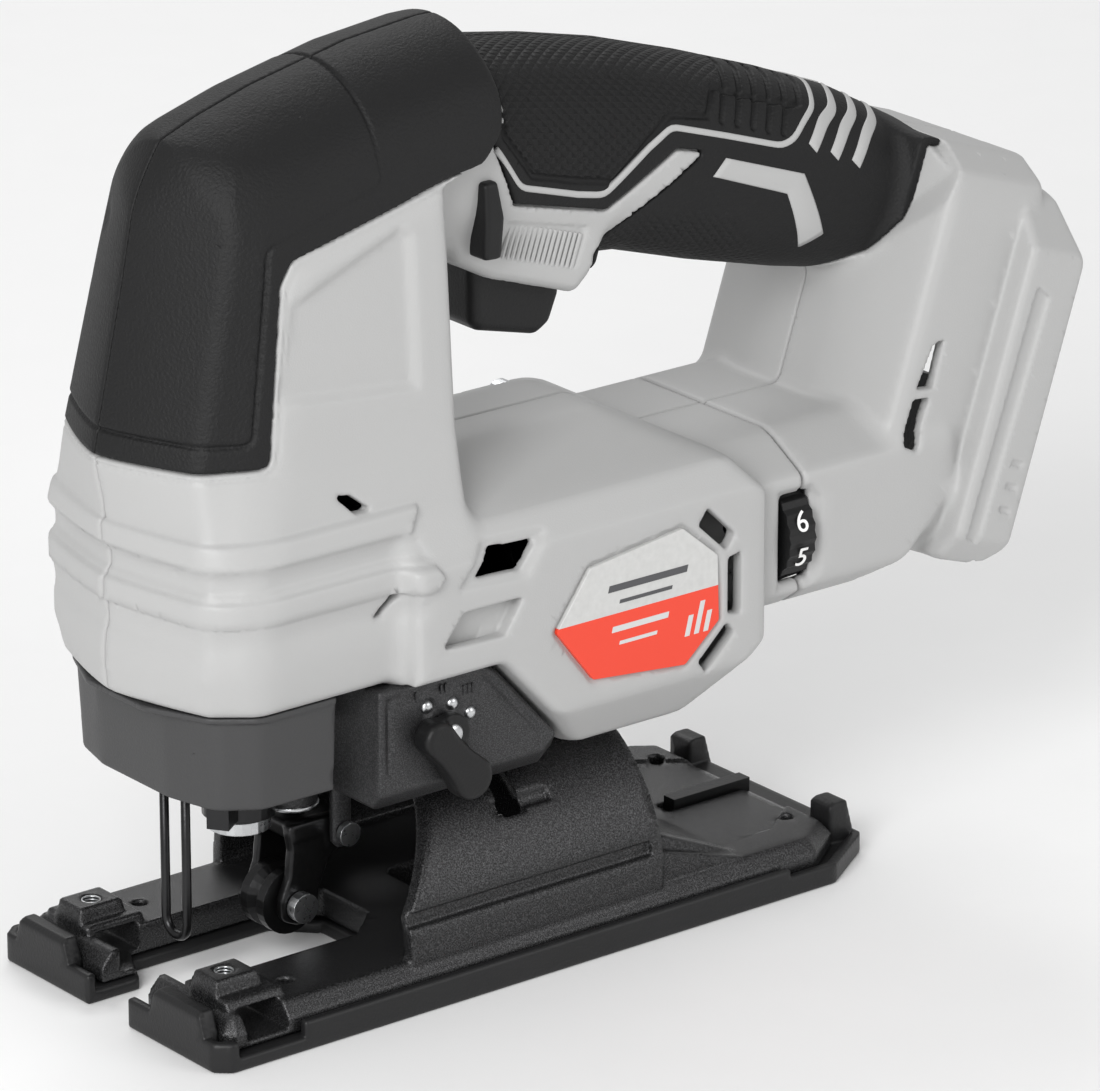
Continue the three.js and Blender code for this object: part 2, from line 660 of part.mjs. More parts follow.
function addGearbox() {
  const side = [[gearboxFront, gearboxTop], [gearboxFront, 44.8], [47, gearboxBottom], [98.6, gearboxBottom], [73.6, gearboxTop]];
  const front = mirrored([[30, gearboxBottom - 1], [gearboxHalfWidth, 48], [gearboxHalfWidth, gearboxTop + 1]]);
  const shell = common(sideways(side, -60, 60), lengthways(front, 30, 120));
  const hollow = join(box(49.5, 72, -29.5, 29.5, 50, 80), box(64.5, 82, -29.5, 29.5, 50, 61));
  const bulkhead = join(blank(bulkheadFront, bulkheadRear, 22, 46, 138), blank(27, bulkheadRear, 7.5, 130, 138));
  const lowerArm = blank(27, 49, 7.5, 72.6, 81.2);
  const link = [-1, 1].map((s) => box(42, 49.4, s > 0 ? 8 : -16, s > 0 ? 16 : -8, 60, 81.2));
  const bridge = blank(42, 49, 16, 72.6, 81.2);
  const forkArms = [-1, 1].map((s) => box(51.6, 56.3, s > 0 ? 7.1 : -9.2, s > 0 ? 9.2 : -7.1, 26.6, 48));
  const sleeve = moved(rod("z", stemRadius, 37, 50, 24), stemX, 0, 0);
  const body = cut(
    join(cut(shell, hollow), bulkhead, lowerArm, bridge, ...link, ...forkArms, sleeve),
    // Clear of the fork's arms, the seat runs on to the front, for the saddle's corners when the base is tilted.
    tiltCylinder(saddleRadius + gap, 40, 130).intersect(join(blank(57.5, 130, 60, 20, 60), ...[-1, 1].map((s) => box(51.2, 57.6, s > 0 ? 10 : -60, s > 0 ? 60 : -10, 20, 60)))),
    moved(rod("z", 2.3, 30, 60, 16), stemX, 0, 0),
    moved(rod("x", 5.3, 50, 70, 20), 0, 0, motorZ),
    moved(rod("x", 3.3, 50, 70, 20), 0, 0, gearZ),
    moved(rod("z", 5.3, 60, 150, 24), plungerX, 0, 0),
    moved(rod("y", 1.4, -20, 20, 12), forkPivotX, 0, forkPivotZ),
    moved(rod("z", 2.3, 30, 60, 16), boltX, 0, 0),
    moved(rod("y", 3.3, -60, 0, 20), leverX, 0, leverZ),
    blank(44, 49.3, 5.5, 43, 72),
  );
  add("gearbox", largest(body), cast);
  add("lower_bush", moved(cut(rod("z", 5, 72.8, 81, 24), rod("z", shaftRadius + 0.2, 60, 90, 24)), plungerX, 0, 0), bronze);
  add("upper_bush", moved(cut(rod("z", 5, 130.2, 137.8, 24), rod("z", shaftRadius + 0.2, 120, 150, 24)), plungerX, 0, 0), bronze);
  add("push_rod", moved(rod("z", 2, 35.3, 58, 16), stemX, 0, 0), steel);

  const yoke = cut(
    box(37, 46.5, -21, 21, yokeZ - 7.6, yokeZ + 7.6),
    box(39.5, 60, -crankRadius - crankPinRadius - 0.5, crankRadius + crankPinRadius + 0.5, yokeZ - crankPinRadius - 0.15, yokeZ + crankPinRadius + 0.15),
  );
  add("plunger", join(yoke, moved(rod("z", shaftRadius, 50, 152, 24), plungerX, 0, 0), blank(33, 40, 7, yokeZ - 7.6, yokeZ + 7.6)), steel);

  const disc = lengthwaysAt(gearOutline(gearTeeth, 0), gearFront, gearFront + gearWidth, gearZ);
  const pin = moved(rod("x", crankPinRadius, 46.9, 52, 20), 0, -crankPinY, gearZ - crankDrop);
  add("drive_gear", cut(join(disc, pin), moved(rod("x", 3.3, 49, 60, 20), 0, 0, gearZ)), darkSteel);
  add("gear_axle", moved(join(rod("x", 3, 49.4, 63.5, 20), rod("x", 4.6, 48.4, 49.8, 20), rod("x", 4.2, 63.8, 66, 20), rod("x", 3, 63, 64, 20)), 0, 0, gearZ), steel);

  const facing = Math.PI / 2 + Math.PI / pinionTeeth;
  const pinion = lengthwaysAt(gearOutline(pinionTeeth, facing), gearFront, gearFront + gearWidth, motorZ);
  const spindle = moved(rod("x", 2.5, gearFront, motorRear + 5, 20), 0, 0, motorZ);
  const armature = moved(join(rod("x", 11.6, motorFront + 7, motorRear - 9, 24), rod("x", 6, motorRear - 9.2, motorRear - 3, 20)), 0, 0, motorZ);
  add("rotor", join(spindle, armature, pinion), steel);
  const blades = [];
  for (let i = 0; i < 9; i++) blades.push(box(84.5, 88.4, 5, 13.4, -0.7, 0.7).rotate([(i * 360) / 9, 0, 0]));
  add("fan", moved(cut(join(rod("x", 6, 83.4, 88.6, 24), rod("x", 13.6, 83.4, 84.8, 32), ...blades), rod("x", 2.7, 60, 100, 20)), 0, 0, motorZ), plastic);
  add("motor_can", moved(cut(rod("x", motorRadius, motorFront, motorRear, 40), rod("x", motorRadius - 1.3, motorFront + 2.4, motorRear + 9, 40), rod("x", 6.2, 80, 100, 20)), 0, 0, motorZ), darkSteel);
  add("stator", moved(cut(rod("x", motorRadius - 1.6, motorFront + 5, motorRear - 7, 40), rod("x", 12.2, 90, 140, 32)), 0, 0, motorZ), copper);
  add("end_cap", moved(cut(join(rod("x", motorRadius - 1.6, motorRear - 3, motorRear + 0.6, 40), rod("x", motorRadius, motorRear + gap, motorRear + 3, 40)), rod("x", 6.9, 120, 150, 24)), 0, 0, motorZ), black);
  const bearing = (x0, x1, r) => moved(cut(rod("x", r, x0, x1, 24), rod("x", 2.7, x0 - 1, x1 + 1, 20)), 0, 0, motorZ);
  add("pinion_bearing", bearing(58.7, 63.3, 5), steel);
  add("front_bearing", bearing(motorFront - 2, motorFront + 2, 5.9), steel);
  add("rear_bearing", bearing(motorRear - 0.6, motorRear + 3, 6.6), steel);
  add("clamp_bolt", join(moved(rod("z", 2, 33.6, 58, 16), boltX, 0, 0), cut(moved(rod("z", 4.2, 30, 34, 16), boltX, 0, 0), moved(rod("z", 1.9, 28, 32.4, 6), boltX, 0, 0))), steel);
  const shoe = common(moved(cut(rod("x", saddleRadius - saddleWall - gap, 74, 96, 48), rod("x", saddleRadius - saddleWall - 7, 60, 120, 48)), 0, 0, tiltAxisZ), blank(70, 100, 9, 34.4, 60));
  add("clamp_shoe", cut(join(shoe, blank(78, 92, 8, 34.4, 39)), moved(rod("z", 2.3, 30, 60, 16), boltX, 0, 0)), cast);
}

function lengthwaysAt(points, x0, x1, z) {
  return lengthways(points.map(([a, b]) => [a, b + z]), x0, x1);
}

// ---------- Blade clamp, roller guide, skirt and guard ----------
function addFront() {
  const body = cut(
    moved(join(rod("z", 5.6, clampBottom + 2, 51, 24), rod("z", 7.2, 47.6, 51.4, 24), rod("z", 6.6, clampBottom, clampBottom + 2.6, 24)), plungerX, 0, 0),
    box(plungerX - 4.5, plungerX + 4.5, -0.9, 0.9, clampBottom - 1, 45),
    moved(rod("z", shaftRadius + 0.2, 49.7, 60, 24), plungerX, 0, 0),
  );
  add("clamp_body", body, steel);
  const ring = cut(rod("z", 7.8, 37.2, 47.2, 28), rod("z", 5.9, 30, 50, 24));
  const tab = cut(box(-13.4, -6.4, -2.4, 2.4, 38, 46), rod("z", 5.9, 30, 50, 24)).rotate([0, 0, 35]);
  add("clamp_lever", moved(join(ring, tab), plungerX, 0, 0), darkSteel);

  const cheek = (y0, y1) => sideways([[57.4, 33], [51.4, 33], [40.6, 18.5], [40.6, 12.6], [46, 11], [48.6, 14], [57.4, 26.5]], y0, y1);
  const saddle = join(blank(51.4, 57.4, 6.6, 26.4, 33), blank(47.2, 53.6, 5.2, 31.2, 34.2));
  const fork = cut(
    join(cheek(-6.7, -4.4), cheek(4.4, 6.7), cut(saddle, blank(40, 50.4, 4, 0, 29))),
    moved(rod("y", 1.6, -20, 20, 12), forkPivotX, 0, forkPivotZ),
    moved(rod("y", 1.8, -20, 20, 12), rollerX, 0, rollerZ),
  );
  add("roller_fork", fork, steel);
  add("fork_pin", moved(join(rod("y", 1.25, -9.8, 9.8, 16), rod("y", 2.6, -11, -9.5, 20)), forkPivotX, 0, forkPivotZ), steel);
  add("roller_pin", moved(join(rod("y", 1.5, -8, 7.4, 16), rod("y", 3.2, -9.4, -7, 20), rod("y", 2.4, 7, 8, 20)), rollerX, 0, rollerZ), steel);
  const groove = new THREE.LatheGeometry([[1.8, -rollerHalfWidth], [rollerRadius, -rollerHalfWidth], [rollerRadius, -1.6], [rollerRadius - 2, 0], [rollerRadius, 1.6], [rollerRadius, rollerHalfWidth], [1.8, rollerHalfWidth], [1.8, -rollerHalfWidth]].map(([x, y]) => new THREE.Vector2(x, y)), 28);
  add("guide_roller", moved(solid(groove), rollerX, 0, rollerZ), steel);

  const low = [[8.6, 11.3], [11.4, 23], [19.7, 28.6], [44, 28.8]];
  const high = [[7.4, 12], [10.6, 24], [19, 29.4], [44, 29.6]];
  const skin = (d) => loft([[50 - d, low], [70.6 + d, high]].map(([z, plan]) => inset(mirroredPlan(plan), d).map(([x, y]) => [x, y, z])));
  const rim = upwards(mirroredPlan([[3.2, 10], [9.5, 24], [18, 30.6], [44, 30.6]]), 68.2, 70.6);
  const guardBlock = blank(15, 20.6, 7, 57, 69);
  const skirt = cut(
    join(cut(skin(0), skin(2.2)), rim, guardBlock),
    blank(30, 60, 25, 40, 71).intersect(blank(20.7, 60, 27, 40, 71)),
    cut(blank(20.9, 48, 20, 66, 72), blank(0, 20, 60, 66, 72)),
    ...[-1, 1].map((s) => moved(rod("z", 1.3, 40, 67, 12), 17.8, s * 3.75, 0)),
    sideways([[36, 49], [50, 49], [50, 62]], -60, 60),
  );
  add("front_skirt", largest(skirt), skirtGrey);
  const wire = join(...[-1, 1].map((s) => moved(rod("z", 1, 13.3, 66.6, 12), 17.8, s * 3.75, 0)), moved(rod("y", 1.12, -4.95, 4.95, 14), 17.8, 0, 13.6));
  add("wire_guard", wire, steel);
}

// ---------- Controls ----------
function addControls() {
  const outerY = -gearboxHalfWidth - gap;
  const spine = sideways([[53.4, 62.6], [52.8, 59.6], [55, 57.6], [60, 54.4], [61.4, 48], [64, 44.6], [68, 44.6], [70, 48], [67, 58], [64.6, 62.6], [60, 63.4]], outerY - 5.4, outerY);
  add("orbit_lever", cut(join(spine, moved(rod("y", 3, outerY - 0.1, -23.5, 20), leverX, 0, leverZ), moved(rod("y", 5.4, -28.6, -26, 20), leverX, 0, leverZ).intersect(box(50, 80, -60, 60, 52, 64))), box(53, 56, -60, -38.4, 58, 60)), black);

  const rim = [];
  for (let i = 0; i < 48; i++) {
    const t = (i / 48) * 2 * Math.PI;
    const r = dialRadius - (i % 2 ? 0.5 : 0);
    rim.push([dialY + r * Math.cos(t), dialZ + r * Math.sin(t)]);
  }
  const axle = moved(rod("x", 2, dialX - 6.5, dialX + 9.6, 16), 0, dialY, dialZ);
  add("speed_dial", join(lengthways(rim, dialX - dialWidth / 2, dialX + dialWidth / 2), axle), black);
  add("dial_sensor", cut(box(dialX + 4.6, dialX + 9.4, dialY - 5.5, dialY + 5.5, dialZ - 5.5, dialZ + 5.5), moved(rod("x", 2.3, 100, 200, 16), 0, dialY, dialZ)), board);

  const trigger = sideways([[89.3, 151], [89.3, 132.6], [91, 131.6], [106.8, 127.4], [112.3, 134.4], [114, 146], [114, 154], [107, 154], [103.5, 151]], -triggerHalfWidth, triggerHalfWidth);
  add("trigger", cut(trigger, moved(rod("y", 1.8, -20, 20, 16), triggerPivotX, 0, triggerPivotZ), box(92, 104, -6, 6, 137, 160)), black);
  add("trigger_pin", moved(rod("y", 1.5, -11.8, 11.8, 16), triggerPivotX, 0, triggerPivotZ), steel);
  add("switch_module", cut(join(blank(93, 128, 9, 160, 176), blank(96, 101, 3, 156.5, 160)), box(93, 96, -10, 10, 170, 180)), black);
  add("lock_off_button", join(box(lockX - 2.5, lockX + 2.5, -21, 21, lockZ - 8.4, lockZ + 8.4)), black);

  add("controller_board", lean(box(-12.6, -10.8, -22, 22, -12, 40)), board);
  add("terminal_block", lean(cut(join(box(-3, 6.3, -16, 16, -15.5, 12), box(6, 9.9, -12.6, 12.6, -13.5, 8.5)), ...[-8, 0, 8].map((y) => box(3, 12, y - 0.9, y + 0.9, -14, 6)))), black);
  [-8, 0, 8].forEach((y, i) => add("contact_" + (i + 1), lean(box(3.4, 16.5, y - 0.6, y + 0.6, -12, 4)), copper));
}

addHousing();
addScrews();
addBase();
addGearbox();
addFront();
addControls();
export default tool;
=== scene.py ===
"""Cordless orbital jigsaw, bare tool: the visible shells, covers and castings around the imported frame.

Shapes are worked out in millimetres from the sole's front edge: +X to the rear, -Y to the tool's left, +Z up.
Moulded and cast pieces are distance fields, so that every edge and every fillet has its own radius.
"""
import math

import bmesh
import bpy
import numpy as np
import openvdb
from mathutils import Matrix, Vector


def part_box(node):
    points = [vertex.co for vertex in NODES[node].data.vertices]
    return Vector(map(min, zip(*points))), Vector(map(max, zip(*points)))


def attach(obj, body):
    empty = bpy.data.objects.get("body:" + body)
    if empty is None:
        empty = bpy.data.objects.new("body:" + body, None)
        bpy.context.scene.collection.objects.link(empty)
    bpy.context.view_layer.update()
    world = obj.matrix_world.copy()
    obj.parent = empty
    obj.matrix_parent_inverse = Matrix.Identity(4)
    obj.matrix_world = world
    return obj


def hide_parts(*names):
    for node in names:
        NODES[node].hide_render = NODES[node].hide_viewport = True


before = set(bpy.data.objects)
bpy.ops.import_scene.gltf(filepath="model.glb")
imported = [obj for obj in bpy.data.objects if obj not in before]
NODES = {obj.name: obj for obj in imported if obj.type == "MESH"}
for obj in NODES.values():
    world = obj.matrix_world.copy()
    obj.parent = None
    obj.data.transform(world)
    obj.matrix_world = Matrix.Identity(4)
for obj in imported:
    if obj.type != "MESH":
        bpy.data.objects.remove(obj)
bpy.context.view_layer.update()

SOLE_ORIGIN = 110.0  # from the sole's front edge to the frame's origin
FINE = 1.0
GAP = 0.22  # half the joint line between two mouldings

# ---------------------------------------------------------------- distance fields


class Grid:
    """Points at which a piece's distance field is sampled."""

    def __init__(self, low, high, voxel):
        self.voxel = voxel * FINE
        self.low = np.array(low, float)
        axes = [np.arange(a, b + self.voxel, self.voxel, dtype=np.float32) for a, b in zip(low, high)]
        self.x = axes[0][:, None, None]
        self.y = axes[1][None, :, None]
        self.z = axes[2][None, None, :]
        self.shape = tuple(len(a) for a in axes)


def outline(points, a, b):
    """Signed distance to a closed outline, negative inside. a and b are the two grid coordinates."""
    best = np.float32(1e9)
    inside = np.zeros(np.broadcast(a, b).shape, bool)
    for (ax, ay), (bx, by) in zip(points, points[1:] + points[:1]):
        ex, ey = bx - ax, by - ay
        t = np.clip(((a - ax) * ex + (b - ay) * ey) / (ex * ex + ey * ey), 0, 1)
        best = np.minimum(best, (a - ax - ex * t) ** 2 + (b - ay - ey * t) ** 2)
        crosses = (b < ay) != (b < by)
        inside ^= crosses & (a < ax + (b - ay) * ex / (ey if ey else 1e-9))
    return np.where(inside, -1, 1).astype(np.float32) * np.sqrt(best)


def line(points, a, b):
    """Distance to an open line of points."""
    best = np.float32(1e9)
    for (ax, ay), (bx, by) in zip(points, points[1:]):
        ex, ey = bx - ax, by - ay
        t = np.clip(((a - ax) * ex + (b - ay) * ey) / (ex * ex + ey * ey), 0, 1)
        best = np.minimum(best, (a - ax - ex * t) ** 2 + (b - ay - ey * t) ** 2)
    return np.sqrt(best)


def rounded(points, radius, steps=5):
    """The same outline with each corner turned into an arc."""
    result = []
    n = len(points)
    for i, p in enumerate(points):
        r = radius[i] if isinstance(radius, (list, tuple)) else radius
        p = np.array(p, float)
        to_last = np.array(points[i - 1], float) - p
        to_next = np.array(points[(i + 1) % n], float) - p
        l1, l2 = np.linalg.norm(to_last), np.linalg.norm(to_next)
        u, v = to_last / l1, to_next / l2
        half = math.acos(float(np.clip(u @ v, -1, 1))) / 2
        if r <= 0 or half > 1.5:
            result.append(tuple(p))
            continue
        reach = min(r / math.tan(half), 0.48 * l1, 0.48 * l2)
        start, end = p + u * reach, p + v * reach
        for k in range(steps + 1):
            t = k / steps
            result.append(tuple((1 - t) ** 2 * start + 2 * t * (1 - t) * p + t * t * end))
    return result


def both(a, b, r=0.0):
    """What lies in a and in b, with an edge of radius r where their faces meet."""
    if r <= 0:
        return np.maximum(a, b)
    return np.minimum(np.maximum(a, b), -r) + np.hypot(np.maximum(a + r, 0), np.maximum(b + r, 0))


def either(a, b, r=0.0):
    """What lies in a or in b, with a fillet of radius r between them."""
    return -both(-a, -b, r)


def without(a, b, r=0.0):
    return both(a, -b, r)


def slab(v, low, high):
    return np.maximum(low - v, v - high)


def smooth_step(v, low, high):
    t = np.clip((v - low) / (high - low), 0, 1)
    return t * t * (3 - 2 * t)


def sunk(d, region, depth, slope=1.0):
    """Lowers the surface by depth inside a region, over a slope of the given width."""
    return d + depth * smooth_step(-region, 0, slope)


def scored(d, distance, half, depth):
    """A fine round-bottomed line pressed into the surface, where distance is near zero."""
    return d + depth * np.clip(1 - (distance / half) ** 2, 0, 1)


def box_field(g, x0, x1, y0, y1, z0, z1, r=0.0):
    return both(both(slab(g.x, x0, x1), slab(g.y, y0, y1), r), slab(g.z, z0, z1), r)


def rod_field(a, b, along, at, radius, low, high, r=0.0):
    """A round rod. a and b are the coordinates across it."""
    return both(np.hypot(a - at[0], b - at[1]) - radius, slab(along, low, high), r)


# ---------------------------------------------------------------- meshes


def new_object(name, vertices, faces, material, smooth=True):
    """vertices are in millimetres from the sole's front edge."""
    co = (np.asarray(vertices, float) - (SOLE_ORIGIN, 0, 0)) / 1000
    mesh = bpy.data.meshes.new(name)
    mesh.from_pydata(co.tolist(), [], [list(map(int, f)) for f in faces])
    mesh.materials.append(material)
    mesh.update()
    if smooth:
        mesh.polygons.foreach_set("use_smooth", np.ones(len(mesh.polygons), bool))
    piece = bpy.data.objects.new(name, mesh)
    bpy.context.scene.collection.objects.link(piece)
    return piece


def skinned(name, field, g, finish, side=0, merge=0.0):
    """The surface of a distance field.

    side is -1 for a left half, which is mirrored, and 1 for anything else.
    merge lets flat places keep fewer faces.
    """
    values = np.ascontiguousarray(np.broadcast_to(field, g.shape), dtype=np.float32)
    values = np.pad(values, 1, constant_values=3.0)
    cells = openvdb.FloatGrid(3.0)
    cells.copyFromArray(values)
    points, triangles, quads = cells.convertToPolygons(0.0, merge)
    points = (points - 1) * g.voxel + g.low
    if side < 0:
        points[:, 1] *= -1
        faces = [tuple(f) for f in quads.tolist()] + [tuple(f) for f in triangles.tolist()]
    else:
        faces = [tuple(f) for f in quads[:, ::-1].tolist()] + [tuple(f) for f in triangles[:, ::-1].tolist()]
    faces = [f[::-1] for f in faces]
    return new_object(name, points, faces, finish)


def facing_out(piece, weld=0.0):
    """Turns every face of a closed piece outwards, and joins points closer than weld metres first."""
    work = bmesh.new()
    work.from_mesh(piece.data)
    if weld:
        bmesh.ops.remove_doubles(work, verts=work.verts, dist=weld)
        bmesh.ops.dissolve_degenerate(work, dist=weld, edges=work.edges)
    bmesh.ops.recalc_face_normals(work, faces=work.faces)
    work.to_mesh(piece.data)
    work.free()
    return piece


# ---------------------------------------------------------------- materials


def material(name, color, roughness, metallic=0.0):
    m = bpy.data.materials.new(name)
    m.use_nodes = True
    shader = m.node_tree.nodes["Principled BSDF"]
    shader.inputs["Base Color"].default_value = (*color, 1)
    shader.inputs["Roughness"].default_value = roughness
    shader.inputs["Metallic"].default_value = metallic
    return m, m.node_tree, shader


DARK_COLOR = 0.02  # brightness below which a finish counts as black
DARK_SHEEN = 0.3  # black plastics reflect less at their surface


def grained(name, color, roughness, grain, depth, mottle=0.05, metallic=0.0, edge=0.0):
    """A moulded or cast finish: fine grain as bump, slight patches in colour and gloss."""
    m, tree, shader = material(name, color, roughness, metallic)
    new, link = tree.nodes.new, tree.links.new
    place = new("ShaderNodeTexCoord")
    fine = new("ShaderNodeTexNoise")
    fine.inputs["Scale"].default_value = grain
    fine.inputs["Detail"].default_value = 3
    broad = new("ShaderNodeTexNoise")
    broad.inputs["Scale"].default_value = 45
    link(place.outputs["Object"], fine.inputs["Vector"])
    link(place.outputs["Object"], broad.inputs["Vector"])
    tint = new("ShaderNodeMix")
    tint.data_type = "RGBA"
    tint.inputs["A"].default_value = (*[c * (1 - mottle) for c in color], 1)
    tint.inputs["B"].default_value = (*[min(c * (1 + mottle), 1) for c in color], 1)
    link(broad.outputs["Fac"], tint.inputs["Factor"])
    link(tint.outputs["Result"], shader.inputs["Base Color"])
    gloss = new("ShaderNodeMapRange")
    gloss.inputs["To Min"].default_value = roughness - 0.06
    gloss.inputs["To Max"].default_value = min(roughness + 0.08, 1)
    link(fine.outputs["Fac"], gloss.inputs["Value"])
    link(gloss.outputs["Result"], shader.inputs["Roughness"])
    bump = new("ShaderNodeBump")
    bump.inputs["Strength"].default_value = 1
    bump.inputs["Distance"].default_value = depth
    link(fine.outputs["Fac"], bump.inputs["Height"])
    if edge:
        softened = new("ShaderNodeBevel")
        softened.samples = 4
        softened.inputs["Radius"].default_value = edge
        link(softened.outputs["Normal"], bump.inputs["Normal"])
    link(bump.outputs["Normal"], shader.inputs["Normal"])
    if max(color) < DARK_COLOR:
        shader.inputs["Specular IOR Level"].default_value = DARK_SHEEN
    return m


def speckled(name, dark, light, roughness, grain, metallic, edge=0.0):
    """Sprayed or shot-blasted metal: light specks on a dark ground."""
    m, tree, shader = material(name, dark, roughness, metallic)
    new, link = tree.nodes.new, tree.links.new
    place = new("ShaderNodeTexCoord")
    specks = new("ShaderNodeTexNoise")
    specks.inputs["Scale"].default_value = grain
    specks.inputs["Detail"].default_value = 4
    specks.inputs["Roughness"].default_value = 0.75
    link(place.outputs["Object"], specks.inputs["Vector"])
    ramp = new("ShaderNodeValToRGB")
    ramp.color_ramp.elements[0].position = 0.45
    ramp.color_ramp.elements[0].color = (*dark, 1)
    ramp.color_ramp.elements[1].position = 0.72
    ramp.color_ramp.elements[1].color = (*light, 1)
    link(specks.outputs["Fac"], ramp.inputs["Fac"])
    link(ramp.outputs["Color"], shader.inputs["Base Color"])
    bump = new("ShaderNodeBump")
    bump.inputs["Distance"].default_value = 0.00007
    link(specks.outputs["Fac"], bump.inputs["Height"])
    if edge:
        softened = new("ShaderNodeBevel")
        softened.samples = 4
        softened.inputs["Radius"].default_value = edge
        link(softened.outputs["Normal"], bump.inputs["Normal"])
    link(bump.outputs["Normal"], shader.inputs["Normal"])
    return m


KNURL_LENGTH = 0.0030  # of one diamond along the handle, in metres
KNURL_HEIGHT = 0.0020  # and round it
KNURL_DEPTH = 1.1


def knurled(name, color, roughness):
    """Soft overmould: sandy grain, and a pattern of small diamonds where the knurl attribute says so."""
    m = grained(name, color, roughness, 1500, 0.00014, 0.10)
    tree = m.node_tree
    new, link = tree.nodes.new, tree.links.new
    bump = next(n for n in tree.nodes if n.type == "BUMP")
    flat = new("ShaderNodeUVMap")
    flat.uv_map = "along_and_round"
    mask = new("ShaderNodeAttribute")
    mask.attribute_name = "knurl"
    split = new("ShaderNodeSeparateXYZ")
    link(flat.outputs["UV"], split.inputs["Vector"])

    def sum_of(operation, a, b):
        node = new("ShaderNodeMath")
        node.operation = operation
        for socket, value in zip(node.inputs, (a, b)):
            if isinstance(value, (int, float)):
                socket.default_value = value
            elif value is not None:
                link(value, socket)
        return node.outputs["Value"]

    across = sum_of("MULTIPLY", split.outputs["X"], 1 / KNURL_LENGTH)
    round_about = sum_of("MULTIPLY", split.outputs["Y"], 1 / KNURL_HEIGHT)
    waves = [
        sum_of("PINGPONG", sum_of(op, across, round_about), 0.5) for op in ("ADD", "SUBTRACT")
    ]
    diamond = sum_of("MINIMUM", waves[0], waves[1])
    raised = sum_of("MULTIPLY", sum_of("MULTIPLY", diamond, mask.outputs["Fac"]), KNURL_DEPTH)
    knurl = new("ShaderNodeBump")
    knurl.inputs["Strength"].default_value = 1
    knurl.inputs["Distance"].default_value = 0.001
    link(raised, knurl.inputs["Height"])
    link(knurl.outputs["Normal"], bump.inputs["Normal"])
    return m


GREY = grained("light_grey_plastic", (0.425, 0.425, 0.422), 0.46, 2600, 0.00003, 0.012)
BLACK_SOFT = grained("black_overmould", (0.0065, 0.0065, 0.0068), 0.56, 1500, 0.0002, 0.12)
RUBBER = knurled("grip_rubber", (0.0060, 0.0060, 0.0063), 0.6)
BLACK = grained("black_plastic", (0.0075, 0.0075, 0.0078), 0.42, 1800, 0.00006, 0.08, edge=0.0004)
SKIRT = grained("dark_grey_plastic", (0.040, 0.040, 0.041), 0.5, 2200, 0.00006, 0.05)
SHOE = grained("shoe_plastic", (0.0135, 0.0135, 0.014), 0.4, 1600, 0.00006, 0.08)
CAST = speckled("blasted_alloy", (0.028, 0.028, 0.029), (0.11, 0.11, 0.113), 0.4, 3200, 0.6, 0.0004)
PAINT = speckled("base_paint", (0.016, 0.016, 0.0165), (0.10, 0.10, 0.103), 0.24, 3000, 0.55, 0.0003)
STEEL = grained("bright_steel", (0.62, 0.63, 0.64), 0.28, 900, 0.00003, 0.08, 1.0, 0.0002)
BLACKED = grained("blackened_steel", (0.035, 0.035, 0.036), 0.3, 1100, 0.00004, 0.15, 0.9, 0.0002)
COPPER = grained("copper_winding", (0.72, 0.33, 0.16), 0.35, 900, 0.00005, 0.1, 1.0)
BRONZE = grained("sintered_bronze", (0.58, 0.40, 0.18), 0.42, 1500, 0.00008, 0.12, 1.0)
BOARD = grained("circuit_board", (0.02, 0.12, 0.05), 0.35, 800, 0.00003, 0.15)

# ---------------------------------------------------------------- housing form
NOSE_LEVELS = np.array([
    # height, front, x and y of the front corner, x and y of the side corner
    (66, 2.2, 8.9, 24.0, 17.6, 31.0),
    (72, 1.5, 8.3, 25.2, 17.0, 32.0),
    (80, 0.9, 7.0, 26.8, 16.2, 33.2),
    (91, 2.2, 7.4, 27.4, 16.0, 33.2),
    (104, 2.2, 7.4, 27.4, 16.0, 33.2),
    (112, 1.6, 8.2, 25.6, 18.5, 31.4),
    (122, -0.5, 8.4, 23.3, 22.0, 29.6),
    (158, 7.6, 16.8, 21.6, 29.5, 27.4),
    (176, 11.2, 21.0, 20.2, 33.0, 25.8),
    (203, 17.0, 27.0, 19.0, 39.0, 23.6),
])
NOSE_TOP = [(5, 170), (11, 177), (17, 184.5), (26, 188), (39.2, 192), (63, 197.2), (81, 199.2), (92, 199.2)]
NOSE_SIDE = rounded(
    [(-20, 70.9), (69.5, 70.9), (69.0, 171), (80, 174), (86.4, 181), (87.5, 215), (-20, 215)],
    [0, 0, 3, 3, 5, 0, 0],
)
BLOCK_SIDE = rounded(
    [(52, 71), (74.7, 71), (99.8, 43.4), (124.5, 43.4), (144.5, 60), (144.5, 93.5), (137.5, 101.5),
    (119, 111), (52, 111)],
    [0, 5, 6, 4, 3, 3, 3, 3, 0],
)
BLOCK_FRONT = rounded(
    [(-60, 30), (24, 43), (31.5, 46.5), (38, 57), (38, 95), (33.5, 101.6), (10.5, 111.2), (-60, 111.2)],
    [0, 3, 4, 4, 3, 3, 3, 0],
)
BARREL_SIDE = rounded(
    [(130, 61), (178, 61), (186, 66), (200, 80), (200, 100.8), (130, 100.8)], [0, 4, 2, 0, 0, 0]
)
BARREL_FRONT = rounded([(-60, 61), (25, 61), (34, 67.5), (34, 93), (20.5, 100.8), (-60, 100.8)],
    [0, 4, 4, 3, 4, 0])
